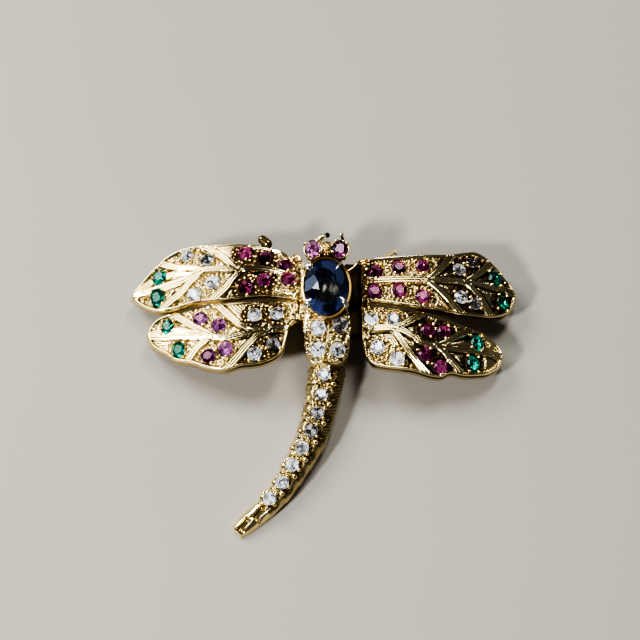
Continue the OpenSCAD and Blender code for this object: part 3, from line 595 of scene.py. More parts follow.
# %% Veins
UPPER_LEFT_VEINS = [  # the midrib first: places along the wing and across it
    [[0.03, 0.20], [0.20, 0.34], [0.35, 0.37], [0.57, 0.41], [0.71, 0.27], [0.99, 0.15]],
    [[0.33, 0.35], [0.40, 0.44], [0.455, 0.59], [0.56, 0.79]],
    [[0.33, 0.37], [0.39, 0.24], [0.43, 0.10], [0.50, -0.05]],
    [[0.55, 0.41], [0.64, 0.47], [0.73, 0.50], [0.83, 0.61]],
    [[0.55, 0.40], [0.63, 0.27], [0.70, 0.08], [0.80, -0.10]],
    [[0.62, 0.37], [0.75, 0.40], [0.88, 0.30], [0.985, 0.19]],
    [[0.66, 0.26], [0.78, 0.20], [0.88, 0.17], [0.985, 0.15]]]
UPPER_RIGHT_VEINS = [
    [[0.02, 0.135], [0.30, 0.19], [0.42, 0.21], [0.67, 0.255], [0.98, 0.19]],
    [[0.40, 0.20], [0.46, 0.30], [0.52, 0.46], [0.58, 0.66]],
    [[0.40, 0.22], [0.49, 0.08], [0.56, -0.08], [0.63, -0.24]],
    [[0.65, 0.25], [0.71, 0.33], [0.77, 0.45], [0.84, 0.62]],
    [[0.65, 0.26], [0.71, 0.16], [0.765, 0.0], [0.82, -0.22]],
    [[0.72, 0.25], [0.82, 0.24], [0.92, 0.22], [0.985, 0.17]]]
LOWER_LEFT_VEINS = [
    [[0.06, -0.04], [0.32, -0.10], [0.45, -0.15], [0.56, -0.12], [0.97, 0.00]],
    [[0.12, -0.05], [0.28, -0.05], [0.38, 0.04], [0.46, 0.20], [0.54, 0.40]],
    [[0.12, -0.05], [0.25, -0.13], [0.33, -0.28], [0.39, -0.44], [0.46, -0.61]],
    [[0.53, -0.11], [0.61, -0.02], [0.71, 0.12], [0.82, 0.31]],
    [[0.53, -0.11], [0.60, -0.16], [0.665, -0.27], [0.72, -0.44]],
    [[0.60, -0.09], [0.74, 0.02], [0.88, 0.05], [0.98, 0.02]]]
LOWER_RIGHT_VEINS = [
    [[0.02, -0.075], [0.23, -0.04], [0.36, -0.15], [0.47, -0.26], [0.96, -0.285]],
    [[0.19, -0.05], [0.26, -0.01], [0.33, 0.08], [0.42, 0.24]],
    [[0.19, -0.04], [0.25, -0.15], [0.32, -0.38], [0.45, -0.70]],
    [[0.50, -0.25], [0.58, -0.20], [0.66, -0.08], [0.77, 0.07]],
    [[0.50, -0.25], [0.57, -0.34], [0.62, -0.47], [0.69, -0.63]],
    [[0.58, -0.25], [0.72, -0.20], [0.86, -0.24], [0.97, -0.30]]]

# %% The four wings
# side: -1 left, 1 right. root: where the wing starts, left or right of the thorax's middle. tuck: how far it
# reaches back under the thorax. axis: where it lies along the body. height and droop: of the root and of the
# tip below it. shade_zone: from where to where along it painted shade lies, and how deep. root_shade: painted
# shade at the root.
WINGS = {
    "upper_left": dict(side=-1, root=2.9, tuck=1.1, span=19.2, axis=0, height=6.0, droop=3.8,
                       shade_zone=(0.15, 0.41, 0.62), root_shade=0.0, edge=UPPER_LEFT_EDGE, veins=UPPER_LEFT_VEINS),
    "upper_right": dict(side=1, root=3.9, tuck=0.0, span=17.6, axis=0, height=6.0, droop=3.8,
                        shade_zone=(0.45, 1.20, 0.34), root_shade=0.65, edge=UPPER_RIGHT_EDGE, veins=UPPER_RIGHT_VEINS),
    "lower_left": dict(side=-1, root=2.9, tuck=1.1, span=17.25, axis=-CHORD / 2, height=5.3, droop=3.3,
                       shade_zone=(0.12, 0.38, 0.50), root_shade=0.0, edge=LOWER_LEFT_EDGE, veins=LOWER_LEFT_VEINS),
    "lower_right": dict(side=1, root=3.9, tuck=0.0, span=15.8, axis=-CHORD / 2, height=5.3, droop=3.3,
                        shade_zone=(0.29, 0.86, 0.34), root_shade=0.2, edge=LOWER_RIGHT_EDGE, veins=LOWER_RIGHT_VEINS),
}
print("wings", ", ".join(WINGS))

# %% [markdown]
# ## The engraver's relief
#
# The next functions work like the goldsmith's hand on a plate of any outline. They round the edge and raise a
# rim along it, lay veins of fine lines with a cut groove on each side, roughen the ground around the stones,
# and drill a seat for each. They work on distances alone: to the edge, to each vein, to each stone.

# %% Relief on a plate
RIM_W, RIM_H, EDGE_ROLL = 0.42, 0.17, 0.33  # the rim, and how far the edge rolls down outside it
VEIN_W, VEIN_H, GROOVE = 0.42, 0.17, 0.26  # half width and height of a vein, depth of the grooves beside it
LINE_PITCH, LINE_H = 0.29, 0.05  # the engraved lines


def rim_line(d):
    """The thin line cut inside a rim."""
    return 0.07 * bell(d - RIM_W - 0.08, 0.09)


def rim_relief(d):
    """A rounded edge that climbs to a crest and falls to a thin line inside it."""
    crest = 0.4 * RIM_W
    outer = -EDGE_ROLL + (EDGE_ROLL + RIM_H) * np.sqrt(np.clip(1 - (1 - d / crest) ** 2, 0, 1))
    inner = RIM_H * (0.5 + 0.5 * np.cos(np.pi * np.clip((d - crest) / (RIM_W - crest), 0, 1)))
    return np.where(d < crest, outer, inner) - rim_line(d)


def vein_relief(x, y, veins):
    """Raised bands of fine lines, the cut grooves beside them, and where the bands lie."""
    raised, cut = np.zeros(x.shape), np.zeros(x.shape)
    near, apart = np.full(x.shape, 9.0), np.full(x.shape, 9.0)
    for n, vein in enumerate(veins):  # the midrib grows thinner along its way, the others wider
        d, along = nearest(x, y, vein)
        width = VEIN_W * (1.15 - 0.45 * along if n == 0 else 0.55 + 0.75 * along)
        u = d / width
        raised = np.maximum(raised, np.clip(1 - u ** 4, 0, 1) ** 0.5 * VEIN_H)
        closer = u < near
        near, apart = np.where(closer, u, near), np.where(closer, d, apart)
        cut = np.maximum(cut, bell(u - 1.2, 0.24) * (0.6 + 0.4 * along if n else 1 - 0.4 * along))
    on_band = ease(1.08, 0.92, near)
    lines = np.cos(2 * np.pi * apart / LINE_PITCH)
    return raised + LINE_H * lines * on_band - GROOVE * cut * (1 - on_band), on_band, apart


# %% Seats and the ground round them
SEAT_GAP = 0.03
SEAT_DEPTH = 0.16  # deeper than the stone
SEAT_EDGE = 1.03  # share of a stone's outline up to which its seat is kept free
GROUND_BUMPS, GROUND_DEPTH, BRIGHT_CUT = 0.22, 0.26, 0.12


def seat_share(x, y, z, stone):
    """Distance from a stone's middle in its own plane, as a share of its outline."""
    local = (np.stack([x, y, z], axis=-1) + HERE - stone["at"]) @ stone["turn"]
    return np.hypot(local[..., 0] / (stone["w"] / 2 + SEAT_GAP), local[..., 1] / (stone["l"] / 2 + SEAT_GAP))


def set_stones(x, y, z, own, seed, ground_grain=0.46, reach=2.05):
    """Roughens the ground round each stone, cuts a bright edge and sinks the seat."""
    shares = [seat_share(x, y, z, s) for s in own]
    closest = np.min(shares, axis=0)
    ground = ease(reach, reach - 0.4, closest)
    heights = ground * (GROUND_BUMPS * pebbles(x, y, ground_grain, seed) - GROUND_DEPTH)
    heights = heights - BRIGHT_CUT * bell(closest - 1.14, 0.10)
    for share, stone in zip(shares, own):
        bowl = (1 - share) * (PAVILION_SHARE + GIRDLE_SHARE) * stone["w"] + SEAT_DEPTH
        heights = np.where(share < 1, np.minimum(heights, -bowl), heights)
    return heights, ground, closest


# %% [markdown]
# ## Wings
#
# A wing is a grid of points: rows run from the root to the tip and each row from the back edge to the front.
# The face droops towards the tip and arches a little. Then come the edge's wall and a plain back, which
# closes the shape. Rows are closer together at the tip, where the outline turns quickly. The root is lumpy like
# a nugget. The ground between the stones is darker, and so are the parts that lie in shade in the photograph.

# %% Helpers for plates
MOST_SPOTS = 2600
granule_spots, granule_leans = [], []  # where loose granules may lie


def mark_ground(points, leans, wanted, seed):
    """Keeps some of the wanted places of a grid for granules."""
    rows, columns = np.nonzero(wanted)
    pick = np.random.default_rng(seed).permutation(len(rows))[:MOST_SPOTS]
    granule_spots.append(points[rows[pick], columns[pick]])
    granule_leans.append(leans[rows[pick], columns[pick]])


def widen(marks, rings, filler=0.0):
    """The marks of a face, carried on over the columns of points behind it."""
    return np.pad(marks, ((0, 0), (0, rings.shape[1] - marks.shape[1])), constant_values=filler)


# %% A wing's grid
ROWS, COLUMNS, WALL_POINTS, BACK_POINTS = 400, 150, 4, 16
TIP_START, TIP_SHARE, TIP_ROWS = 0.955, 0.045, 34
WALL, WALL_LEAN = 1.1, 0.12  # height of the edge's wall, and how far it leans in
ARCH, DROOP_POWER = 0.3, 1.7


def wing_rows(w):
    """Places along the wing, closer together at the tip, and the two edges there."""
    shape = smooth_rows(w["edge"], 12)
    start = -w["tuck"] / w["span"]
    body = np.linspace(start, TIP_START, ROWS - TIP_ROWS)
    tip = TIP_START + TIP_SHARE * np.sin(np.linspace(0, np.pi / 2, TIP_ROWS + 1)[1:])
    along = np.concatenate([body, tip])
    lead = np.interp(along, shape[:, 0], shape[:, 1]) * CHORD
    trail = np.interp(along, shape[:, 0], shape[:, 2]) * CHORD
    middle, half = (lead + trail) / 2, (lead - trail) / 2
    round_off = round_end(along, TIP_START, TIP_SHARE, 0.0001)
    return along, middle - half * round_off, middle + half * round_off


def wall_and_back(top, chord):
    """Rings of points over the finished face, down its two walls and across a plain back."""
    inset = np.minimum(WALL_LEAN, 0.3 * chord)
    fall = np.full(inset.shape, WALL - EDGE_ROLL)
    drops = np.linspace(0, 1, WALL_POINTS + 1)[1:]
    sides = []
    for column, step in ((-1, 1), (0, -1)):
        wall = [top[:, column] - np.stack([0 * inset, step * inset * d, fall * d], axis=1) for d in drops]
        sides.append(np.stack(wall, axis=1))
    front, rear = sides
    shares = np.linspace(0, 1, BACK_POINTS + 2)[1:-1][None, :, None]
    back = front[:, -1:] * (1 - shares) + rear[:, -1:] * shares
    return np.concatenate([top, front, back, rear[:, ::-1]], axis=1)


# %% Make the wings
def wing_marks(w, a, heights, ground, nugget):
    """How sunken, how raised and how deep in painted shade each place of a wing is, and which part lies in shade.
    """
    near, far, much = w["shade_zone"]
    shade_zone = ease(near - 0.05, near + 0.05, a) * ease(far + 0.05, far - 0.05, a)
    hollow, raised = hollows(heights)
    # Painted shade: on the right wings the ground darkens more in the shade zone, and the root darkens.
    if w["side"] > 0:
        hollow = np.maximum(hollow, ground * (0.45 + 0.35 * shade_zone)) + 0.3 * ease(0.13, 0.0, a)
    # On the left wings the hollows are less dark on the outer half, and the lumpy root is darker.
    else:
        hollow = np.maximum(hollow, ground * 0.8) * (1 - 0.4 * ease(0.42, 0.52, a)) + 0.3 * nugget
    # The shade mark is painted shade over the shade zone and at the root.
    shade = np.maximum(much * shade_zone, w["root_shade"] * ease(0.11, 0.03, a))
    return hollow, raised * (1 - 0.9 * nugget), shade, shade_zone


def make_wing(name, w):
    """One engraved wing with its seats."""
    along, trail, lead = wing_rows(w)
    v = np.linspace(0, 1, COLUMNS)
    v = 0.6 * v + 0.4 * (0.5 - 0.5 * np.cos(np.pi * v))  # closer together at both edges
    c = trail[:, None] + (lead - trail)[:, None] * v
    a = np.repeat(along[:, None], COLUMNS, axis=1)
    s = a * w["span"]
    x = w["side"] * (w["root"] + s)
    y = w["axis"] + c
    swell = ease(0.0, 1.5, lead - trail)[:, None]
    face = w["height"] - w["droop"] * np.clip(a, 0, None) ** DROOP_POWER + ARCH * swell * 4 * v * (1 - v)

    edge = np.vstack([np.stack([along * w["span"], trail], axis=1)[::3],
                      np.stack([along * w["span"], lead], axis=1)[::-3]])
    to_edge, _ = nearest(s, c, edge)
    veins = [smooth_rows(np.array(line) * [w["span"], CHORD], 7) for line in w["veins"]]
    relief, on_band, apart = vein_relief(s, c, veins)
    own = [stone for stone in small_stones if name in stone["node"]]
    ground_relief, ground, closest = set_stones(x, y, face, own, len(name) + w["side"])
    inside = ease(RIM_W - 0.25 * on_band, RIM_W + 0.2 * (1 - on_band), to_edge)
    free = inside * (1 - on_band)
    lined = LINE_H * np.cos(2 * np.pi * apart / LINE_PITCH) * (1 - ground) - LINE_H
    nugget = ease(0.085, 0.03, a)  # 1 on the lumpy root
    lumps = pebbles(x * 0.9, y, 0.66, 7) * 0.26 + pebbles(x, y, 0.34, 8) * 0.12 - 0.12
    z = (relief * inside + lined * free + ground_relief * free) * (1 - nugget) + lumps * nugget
    z = z + (rim_relief(to_edge) + rim_line(to_edge) * on_band) * (1 - nugget * 0.6)
    z = np.where(closest < SEAT_EDGE, np.minimum(z, ground_relief), z)
    open_ground = ground * free
    hollow, raised, shade, shade_zone = wing_marks(w, a, z, open_ground, nugget)

    top = np.stack([x, y, face + z], axis=-1)
    upward = np.zeros(top.shape)
    upward[..., 2] = 1.0
    wanted = (open_ground > 0.5) & (closest > 1.26) & (a > 0.02) & (shade_zone * w["side"] < 0.5)
    mark_ground(top, upward, wanted, len(name))
    rings = wall_and_back(top, lead - trail)
    return skin("wing_" + name, rings + HERE, polished, {
        "hollow": widen(hollow, rings, 0.25), "raised": widen(raised, rings), "shade": widen(shade, rings)})


for name, w in WINGS.items():
    piece = keep(make_wing(name, w), "wing_" + name)
    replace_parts(piece, "gold_frame")
    print(piece.name, len(piece.data.polygons), "faces")

# %% [markdown]
# ## The shield
#
# Below the blue stone the back of the insect is a small arched shield with four stones. Its sides fall
# steeply, and a raised rim runs round its lower end. It is swept along the body's axis: one arched section
# after another, each from a row of the table.

# %% Arched sections
def arch(left, right, top, base, drop, columns, wall, power=4.2):
    """An arched section from the left foot over the crown to the right foot, with its outward directions."""
    t = np.linspace(-1, 1, columns)
    t = np.sign(t) * np.abs(t) ** 0.85
    x = np.where(t < 0, t * left, t * right)
    z = top - drop * np.abs(t) ** power
    down = np.linspace(0, 1, wall + 1)[1:]
    zl, zr = z[0] + (base - z[0]) * down, z[-1] + (base - z[-1]) * down
    x = np.concatenate([np.full(wall, -left)[::-1], x, np.full(wall, right)])
    z = np.concatenate([zl[::-1], z, zr])
    dx, dz = np.gradient(x), np.gradient(z)
    length = np.hypot(dx, dz) + 1e-9
    t = np.concatenate([-1 - down[::-1], t, 1 + down])
    return x, z, -dz / length, dx / length, t


def hollow_back(x_left, x_right, base, roof, count):
    """The plain hollow underside of an arched section, from the right foot back to the left."""
    t = np.linspace(0, 1, count + 2)[1:-1]
    x = x_right + (x_left - x_right) * t
    z = base + (roof - base) * np.clip(np.sin(np.pi * t), 0, 1) ** 0.6
    return x, z


# %% Make the shield
SHIELD_L, SHIELD_W, SHIELD_BASE = 8.5, 5.3, 2.9
SHIELD_TOP, SHIELD_FALL, SHIELD_DROP = 6.05, 1.25, 0.7  # crown, its fall to the rear, drop from crown to flanks
SHIELD_COLUMNS, SHIELD_WALL = 96, 12
SHIELD_ROWS = [  # share of the length, half widths left and right, share of the fall that is still to come
    [0.28, 1.00, 1.00, 1.00], [0.45, 0.98, 1.02, 0.95], [0.59, 0.95, 1.01, 0.78], [0.73, 0.89, 0.95, 0.55],
    [0.85, 0.78, 0.86, 0.33], [0.93, 0.60, 0.68, 0.20], [0.98, 0.36, 0.44, 0.14], [1.00, 0.18, 0.24, 0.10]]


def make_shield():
    """The arched shield with its rim and its four seats."""
    rows = smooth_rows(SHIELD_ROWS, 22)
    rings, tees, feet = [], [], []
    for share, left, right, fall in rows:
        left, right = left * SHIELD_W / 2, right * SHIELD_W / 2
        top = SHIELD_TOP - SHIELD_FALL * (1 - fall)
        x, z, nx, nz, t = arch(left, right, top, SHIELD_BASE, SHIELD_DROP, SHIELD_COLUMNS, SHIELD_WALL)
        y = np.full(x.shape, -SHIELD_L * share)
        rings.append(np.stack([x, y, z, nx, nz], axis=-1))
        tees.append(t)
        feet.append((-left, right, top))
    grid, t = np.array(rings), np.array(tees)
    x, y, z, nx, nz = [grid[..., k] for k in range(5)]
    outline = np.array([[f[0], -SHIELD_L * r[0]] for f, r in zip(feet, rows)]
                       + [[f[1], -SHIELD_L * r[0]] for f, r in list(zip(feet, rows))[::-1]])
    to_edge, _ = nearest(x, y, outline)
    own = [s for s in small_stones if "shield" in s["node"]]
    relief, ground, closest = set_stones(x, y, z, own, 31)
    rear = ease(0.38, 0.62, -y / SHIELD_L)
    rim = 0.16 * bell(to_edge - 0.2, 0.17) * rear - 0.06 * bell(to_edge - 0.52, 0.1) * rear
    ground = ground * ease(0.4, 0.6, to_edge)
    relief = np.where(relief < -0.2, relief, relief * ease(0.35, 0.55, to_edge) + rim)
    relief = np.where(np.abs(t) > 1, 0.05 * (pebbles(y, z, 0.5, 5) - 0.3), relief)
    hollow, raised = hollows(relief)
    # Painted shade: the right side of the shield is darkened.
    hollow = np.clip(hollow + 0.5 * ease(-0.1, 0.6, t), 0, 1.05)
    top = np.stack([x + nx * relief, y, z + nz * relief], axis=-1)
    mark_ground(top, np.stack([nx, 0 * nx, nz], axis=-1),
                (ground > 0.5) & (closest > 1.25) & (t > -0.93) & (t < 0.62) & (y < -3.3), 31)
    backs = []
    for (left, right, crown), share in zip(feet, rows[:, 0]):
        wall = min(0.8, right * 0.5)
        bx, bz = hollow_back(left + wall, right - wall, SHIELD_BASE, max(SHIELD_BASE + 0.05, crown - 1.3), 14)
        backs.append(np.stack([bx, np.full(bx.shape, -SHIELD_L * share), bz], axis=-1))
    rings = np.concatenate([top, np.array(backs)], axis=1)
    hollow = np.maximum(hollow, ground * 0.65)
    return skin("shield", rings + HERE, polished,
                {"hollow": widen(hollow, rings, 0.3), "raised": widen(raised, rings)})


shield = keep(make_shield(), "shield")
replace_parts(shield, "gold_frame")
print("shield", len(shield.data.polygons), "faces")

# %% [markdown]
# ## The tail
#
# The tail has a segment for each of its eight stones and a plain polished end. Each segment flares a little
# before the next one starts. The first two are hatched with the graver on their left flank and the first four on
# their right. Both flanks are scooped out beside the stones, the left one is also notched between the segments,
# and two facets are cut near the tip. All this is one sweep along a curve.

# %% The tail's curve and sizes
TAIL_L, TAIL_SWING, TAIL_W, TAIL_Z = 18.6, 9.3, 4.0, 3.55  # length, way to the left, width, height
TAIL_FLARE, TAIL_LIFT = 0.14, 0.42  # widening of a segment, share of the height that the first one hangs free
TAIL_AXIS, TAIL_OVERLAP = 0.02, 0.9  # place across the body, way under the shield
TAIL_STONES, TAIL_STEPS = 8, 44  # segments, and rows of points in each
TAIL_COLUMNS, TAIL_WALL = 76, 10
TAIL_END, TAIL_ROUND = 10.72, 0.28  # where the tip starts to round, counted in segments
TAIL_ROWS = np.array([  # share of the way left, share of the length, half widths left and right, height
    [0.010, 0.000, 0.46, 0.54, 0.98], [0.030, 0.080, 0.47, 0.54, 1.00], [0.060, 0.205, 0.47, 0.47, 0.95],
    [0.105, 0.320, 0.46, 0.43, 0.90], [0.180, 0.428, 0.42, 0.44, 0.84], [0.285, 0.533, 0.38, 0.42, 0.78],
    [0.400, 0.634, 0.35, 0.40, 0.70], [0.515, 0.735, 0.32, 0.35, 0.61], [0.655, 0.825, 0.31, 0.30, 0.53],
    [0.815, 0.907, 0.28, 0.26, 0.42], [0.955, 0.968, 0.25, 0.23, 0.33], [1.035, 1.003, 0.19, 0.17, 0.24]])
SCOOPS = [((-6.95, -24.30), 0.50, 1.05, 0.50), ((-8.72, -25.55), 0.42, 0.80, 0.42)]  # middle, half sizes, depth
RIB_DEPTH, HATCH_DEPTH, SCOOP_DEPTH, NOTCH_DEPTH = 0.20, 0.10, 0.32, 0.32
HATCH_LEFT, HATCH_RIGHT = 0.27, 0.30  # from one line to the next
RIB_AT, RIB_WAYS, RIB_SIZES = 0.42, (-0.62, 0.54), [0.85, 1.65]  # a bead on either side between two stones
rib_spots, rib_leans = [], []


# %% Make the tail
def tail_relief(x, y, z, q, t, seg, length, jewel):
    """Heights on the tail, how sunken it is (with painted shade) and how raised, and where granules may lie."""
    chevron = seg + 0.5 + 0.12 * np.clip(np.abs(t), 0, 1.2) ** 2
    cut = np.abs(chevron - np.round(chevron))
    own = [s for s in small_stones if "tail" in s["node"]]
    relief, ground, closest = set_stones(x, y, z, own, 51, ground_grain=0.42, reach=1.85)
    flank = ease(0.56, 0.74, np.abs(t)) * jewel
    left_lines = 0.5 + 0.5 * np.cos(2 * np.pi * (length + 0.2 * q) / HATCH_LEFT)
    right_lines = 0.5 + 0.5 * np.cos(2 * np.pi * (length + 0.8 * q) / HATCH_RIGHT)
    left_hatch = left_lines * ease(2.6, 2.2, seg) * (t < 0)
    right_hatch = right_lines * ease(4.6, 3.9, seg) * (t > 0)
    hatched = flank * (left_hatch + right_hatch) * ease(1.5, 1.2, np.abs(t))
    beside = np.abs(chevron - np.round(chevron - 0.5) - 0.5 - 0.16)
    scooped = bell(beside, 0.17) * bell(np.abs(t) - 0.72, 0.15) * ease(0.9, 1.4, seg) * jewel
    notch = bell(cut, 0.12) * ease(-0.45, -0.75, t) * ease(1.2, 2.0, seg) * jewel
    relief = (relief * (1 - flank) - RIB_DEPTH * bell(cut, 0.07) * jewel * ease(0.95, 0.6, t)
              - HATCH_DEPTH * hatched - SCOOP_DEPTH * scooped - NOTCH_DEPTH * notch)
    relief = np.where(closest < SEAT_EDGE, np.minimum(relief, (closest - 1) * 0.6), relief)
    for (cx, cy), wide, long, deep in SCOOPS:
        dx, dy = x - cx, y - cy
        u, v = -0.60 * dx - 0.80 * dy, 0.80 * dx - 0.60 * dy
        relief = relief - deep * ease(1.1, 0.6, np.maximum(np.abs(u) / long, np.abs(v) / wide))
    open_ground = ground * (1 - flank)
    hollow, raised = hollows(relief)
    hollow = np.maximum(hollow, np.maximum(scooped * 0.95, open_ground * 0.70))
    # Painted shade: the right flank and the first segments near the shield are darkened.
    hollow = hollow + 0.55 * ease(0.15, 0.55, t) * ease(1.3, 0.9, t) * jewel + 0.28 * ease(5.5, 3.5, seg) * jewel
    wanted = (open_ground > 0.5) & (closest > 1.3) & (cut < 0.3) & (t > -0.5) & (t < 0.3)
    return relief, np.clip(hollow, 0, 1.05), raised, wanted


def make_tail():
    """The curved tail with its segments, hatching, scoops and seats."""
    rows = smooth_rows(TAIL_ROWS, TAIL_STEPS)
    place = np.linspace(0, len(TAIL_ROWS) - 1, len(rows))
    px = TAIL_AXIS - TAIL_SWING * rows[:, 0]
    py = -(SHIELD_L - TAIL_OVERLAP) - TAIL_L * rows[:, 1]
    head = np.stack([np.gradient(px), np.gradient(py)], axis=1)
    head /= np.linalg.norm(head, axis=1)[:, None]
    side = np.stack([-head[:, 1], head[:, 0]], axis=1)
    run = np.concatenate([[0], np.cumsum(np.hypot(np.diff(px), np.diff(py)))])
    phase = place + 0.5 - np.floor(place + 0.5)
    jewelled = ease(TAIL_STONES + 0.62, TAIL_STONES + 0.40, place)
    flare = 1 + TAIL_FLARE * (phase - 0.6) * jewelled
    round_off = round_end(place, TAIL_END, TAIL_ROUND, 0.02)

    grid, tees, backs = [], [], []
    for i, row in enumerate(rows):
        left = TAIL_W * row[2] * flare[i] * round_off[i]
        right = TAIL_W * row[3] * (flare[i] + 2) / 3 * round_off[i]
        top = TAIL_Z * row[4] * (flare[i] + 3) / 4
        base = max(0.0, TAIL_LIFT * TAIL_Z * (1 - place[i] / (TAIL_STONES + 1)))
        drop = (top - base) * 0.5
        x, z, nx, nz, t = arch(left, right, top, base, drop, TAIL_COLUMNS, TAIL_WALL, 2.9)
        wall = min(0.75, min(left, right) * 0.6)
        roof = max(base + 0.02, top - wall * 1.6)
        bx, bz = hollow_back(-left + wall, right - wall, base, roof, 10)
        grid.append(np.stack([x, z, nx, nz], axis=-1))
        backs.append(np.stack([bx, bz], axis=-1))
        tees.append(t)
    grid, backs, t = np.array(grid), np.array(backs), np.array(tees)
    q, z, nq, nz = [grid[..., k] for k in range(4)]
    x = px[:, None] + side[:, :1] * q
    y = py[:, None] + side[:, 1:] * q
    length = np.repeat(run[:, None], q.shape[1], axis=1)
    seg = np.repeat(place[:, None], q.shape[1], axis=1)
    jewel = np.repeat(jewelled[:, None], q.shape[1], axis=1)
    relief, hollow, raised, wanted = tail_relief(x, y, z, q, t, seg, length, jewel)

    shift = np.stack([side[:, None, 0] * nq * relief, side[:, None, 1] * nq * relief, nz * relief], axis=-1)
    top = np.stack([x, y, z], axis=-1) + shift
    mark_ground(top, np.stack([side[:, :1] * nq, side[:, 1:] * nq, nz], axis=-1), wanted, 51)
    for k in range(1, TAIL_STONES + 1):
        row = int((k + RIB_AT) * TAIL_STEPS)
        for way in RIB_WAYS:
            column = int(np.argmin(np.abs(t[row] - way)))
            rib_spots.append(top[row, column])
            rib_leans.append([side[row, 0] * nq[row, column], side[row, 1] * nq[row, column], nz[row, column]])
    back = np.stack([px[:, None] + side[:, :1] * backs[..., 0], py[:, None] + side[:, 1:] * backs[..., 0],
                     backs[..., 1]], axis=-1)
    rings = np.concatenate([top, back], axis=1)
    rings[..., 2] = np.maximum(rings[..., 2], 0.0)
    return skin("tail", rings + HERE, polished,
                {"hollow": widen(hollow, rings, 0.3), "raised": widen(raised, rings)})


tail = keep(make_tail(), "tail")
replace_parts(tail, "gold_frame")
print("tail", len(tail.data.polygons), "faces")

# %% [markdown]
# ## The thorax
#
# The big stone sits in an oval drum with a thin polished lip. On the left the drum is lumpy like a nugget and
# runs into the wings' roots, and on the right it is a smooth wall, darkened with painted shade like the far side
# of the lip. It is turned like a pot: the outline starts inside the foot and runs up the wall, over the lip and
# down into the seat.

# %% Make the thorax
COLLAR_W, LEAN = 0.36, 0.45  # the metal round the stone, how far the foot lies to the right
AROUND, OUTSIDE = 180, 0.80  # points in a ring, share of the outline that lies outside the seat
DRUM = [  # shares of the collar's width and length, height, share of the lean
    [0.60, 0.62, 5.30, 0.3], [0.66, 0.70, 2.72, 1.0], [0.90, 0.89, 2.70, 1.0], [0.95, 0.93, 2.85, 1.0],
    [1.00, 0.98, 3.60, 0.95], [1.04, 1.00, 4.40, 0.80], [1.01, 0.99, 5.20, 0.50], [0.985, 0.98, 5.85, 0.30],
    [0.99, 0.985, 6.35, 0.10], [1.01, 1.00, 6.62, 0.0], [1.005, 1.00, 6.80, 0.0], [0.97, 0.98, 6.87, 0.0],
    [0.915, 0.935, 6.84, 0.0], [0.88, 0.91, 6.72, 0.0], [0.70, 0.72, 6.05, 0.0], [0.35, 0.36, 5.40, 0.0]]


def make_thorax():
    """The oval drum, lumpy on the left and smooth on the right, with painted shade on the right and the far lip.
    """
    w, l = big_stone["w"] + 2 * COLLAR_W, big_stone["l"] + 2 * COLLAR_W
    rows = smooth_rows(DRUM, 7)
    turn = full_turn(AROUND)
    z = np.repeat(rows[:, 2:3], AROUND, axis=1)
    out = np.repeat((np.linspace(0, 1, len(rows)) < OUTSIDE)[:, None], AROUND, axis=1)
    left = ease(0.1, -0.35, np.cos(turn))[None, :]
    around = np.repeat((turn * l / 2)[None, :], len(rows), axis=0)
    lumps = pebbles(around, z, 0.62, 3) * 0.26 + pebbles(around, z, 0.33, 4) * 0.10 - 0.08
    swell = lumps * left * ease(4.2, 5.6, z) * (1 - 0.55 * ease(6.5, 6.75, z)) * out
    wrinkle = 0.03 * (pebbles(around, z * 0.4, 0.5, 9) - 0.4) * (1 - left) * out * ease(6.7, 6.2, z)
    x = (rows[:, :1] * w / 2 + swell + wrinkle) * np.cos(turn) + LEAN * rows[:, 3:4]
    y = (rows[:, 1:2] * l / 2 + swell + wrinkle) * np.sin(turn)
    hollow, raised = hollows(swell + wrinkle, depth=0.06)
    # Painted shade: the right wall is dark, and so is the far side of the lip.
    dark = np.maximum(hollow, np.maximum(ease(6.3, 5.2, z), 0.93) * (1 - left))
    dark = np.maximum(dark, ease(6.1, 6.4, z) * ease(0.25, 0.6, np.sin(turn))[None, :] * 1.15)
    z = z + 0.25 * swell * ease(6.3, 6.7, z)
    return skin("thorax", np.stack([x, y, z], axis=-1) + HERE, warm_gold, {"hollow": dark, "raised": raised})


thorax = keep(make_thorax(), "thorax")
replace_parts(thorax, "gold_frame")
print("thorax", len(thorax.data.polygons), "faces")

# %% [markdown]
# ## Rods: claws, feelers and curls
#
# Claws, feelers and the curled ends of the wings' roots are all bent rods whose thickness changes. A rod is
# swept along a smooth curve and its ends are rounded, so one function makes them all.

# %% Rods
ROD_SIDES, ROD_ROWS, CAP_ROWS = 14, 7, 4  # rows between two given points, and in a rounded end


def rod(points, radii, flat):
    """Rings of a bent rod with rounded ends. Its height is its width times flat."""
    rows = smooth_rows(np.column_stack([points, radii]), ROD_ROWS)
    path, radius = rows[:, :3], rows[:, 3].copy()
    for i in range(CAP_ROWS):
        share = math.sqrt(1 - (1 - (i + 0.15) / CAP_ROWS) ** 2)
        radius[i] *= share
        radius[-1 - i] *= share
    heading = np.gradient(path, axis=0)
    heading /= np.linalg.norm(heading, axis=1)[:, None]
    helper = np.where(np.abs(heading[:, 2:3]) > 0.9, [[0, 1, 0]], [[0, 0, 1]])
    across = np.cross(heading, helper)
    across /= np.linalg.norm(across, axis=1)[:, None]
    up = np.cross(across, heading)
    turn = full_turn(ROD_SIDES)
    return (path[:, None] + radius[:, None, None]
            * (across[:, None] * np.cos(turn)[None, :, None] + flat * up[:, None] * np.sin(turn)[None, :, None]))


def join(objects, name):
    """Several objects as one mesh."""
    work = bmesh.new()
    for obj in objects:
        work.from_mesh(obj.data)
    mesh = objects[0].data
    work.to_mesh(mesh)
    work.free()
    for obj in objects[1:]:
        bpy.data.objects.remove(obj)
    objects[0].name = name
    return objects[0]


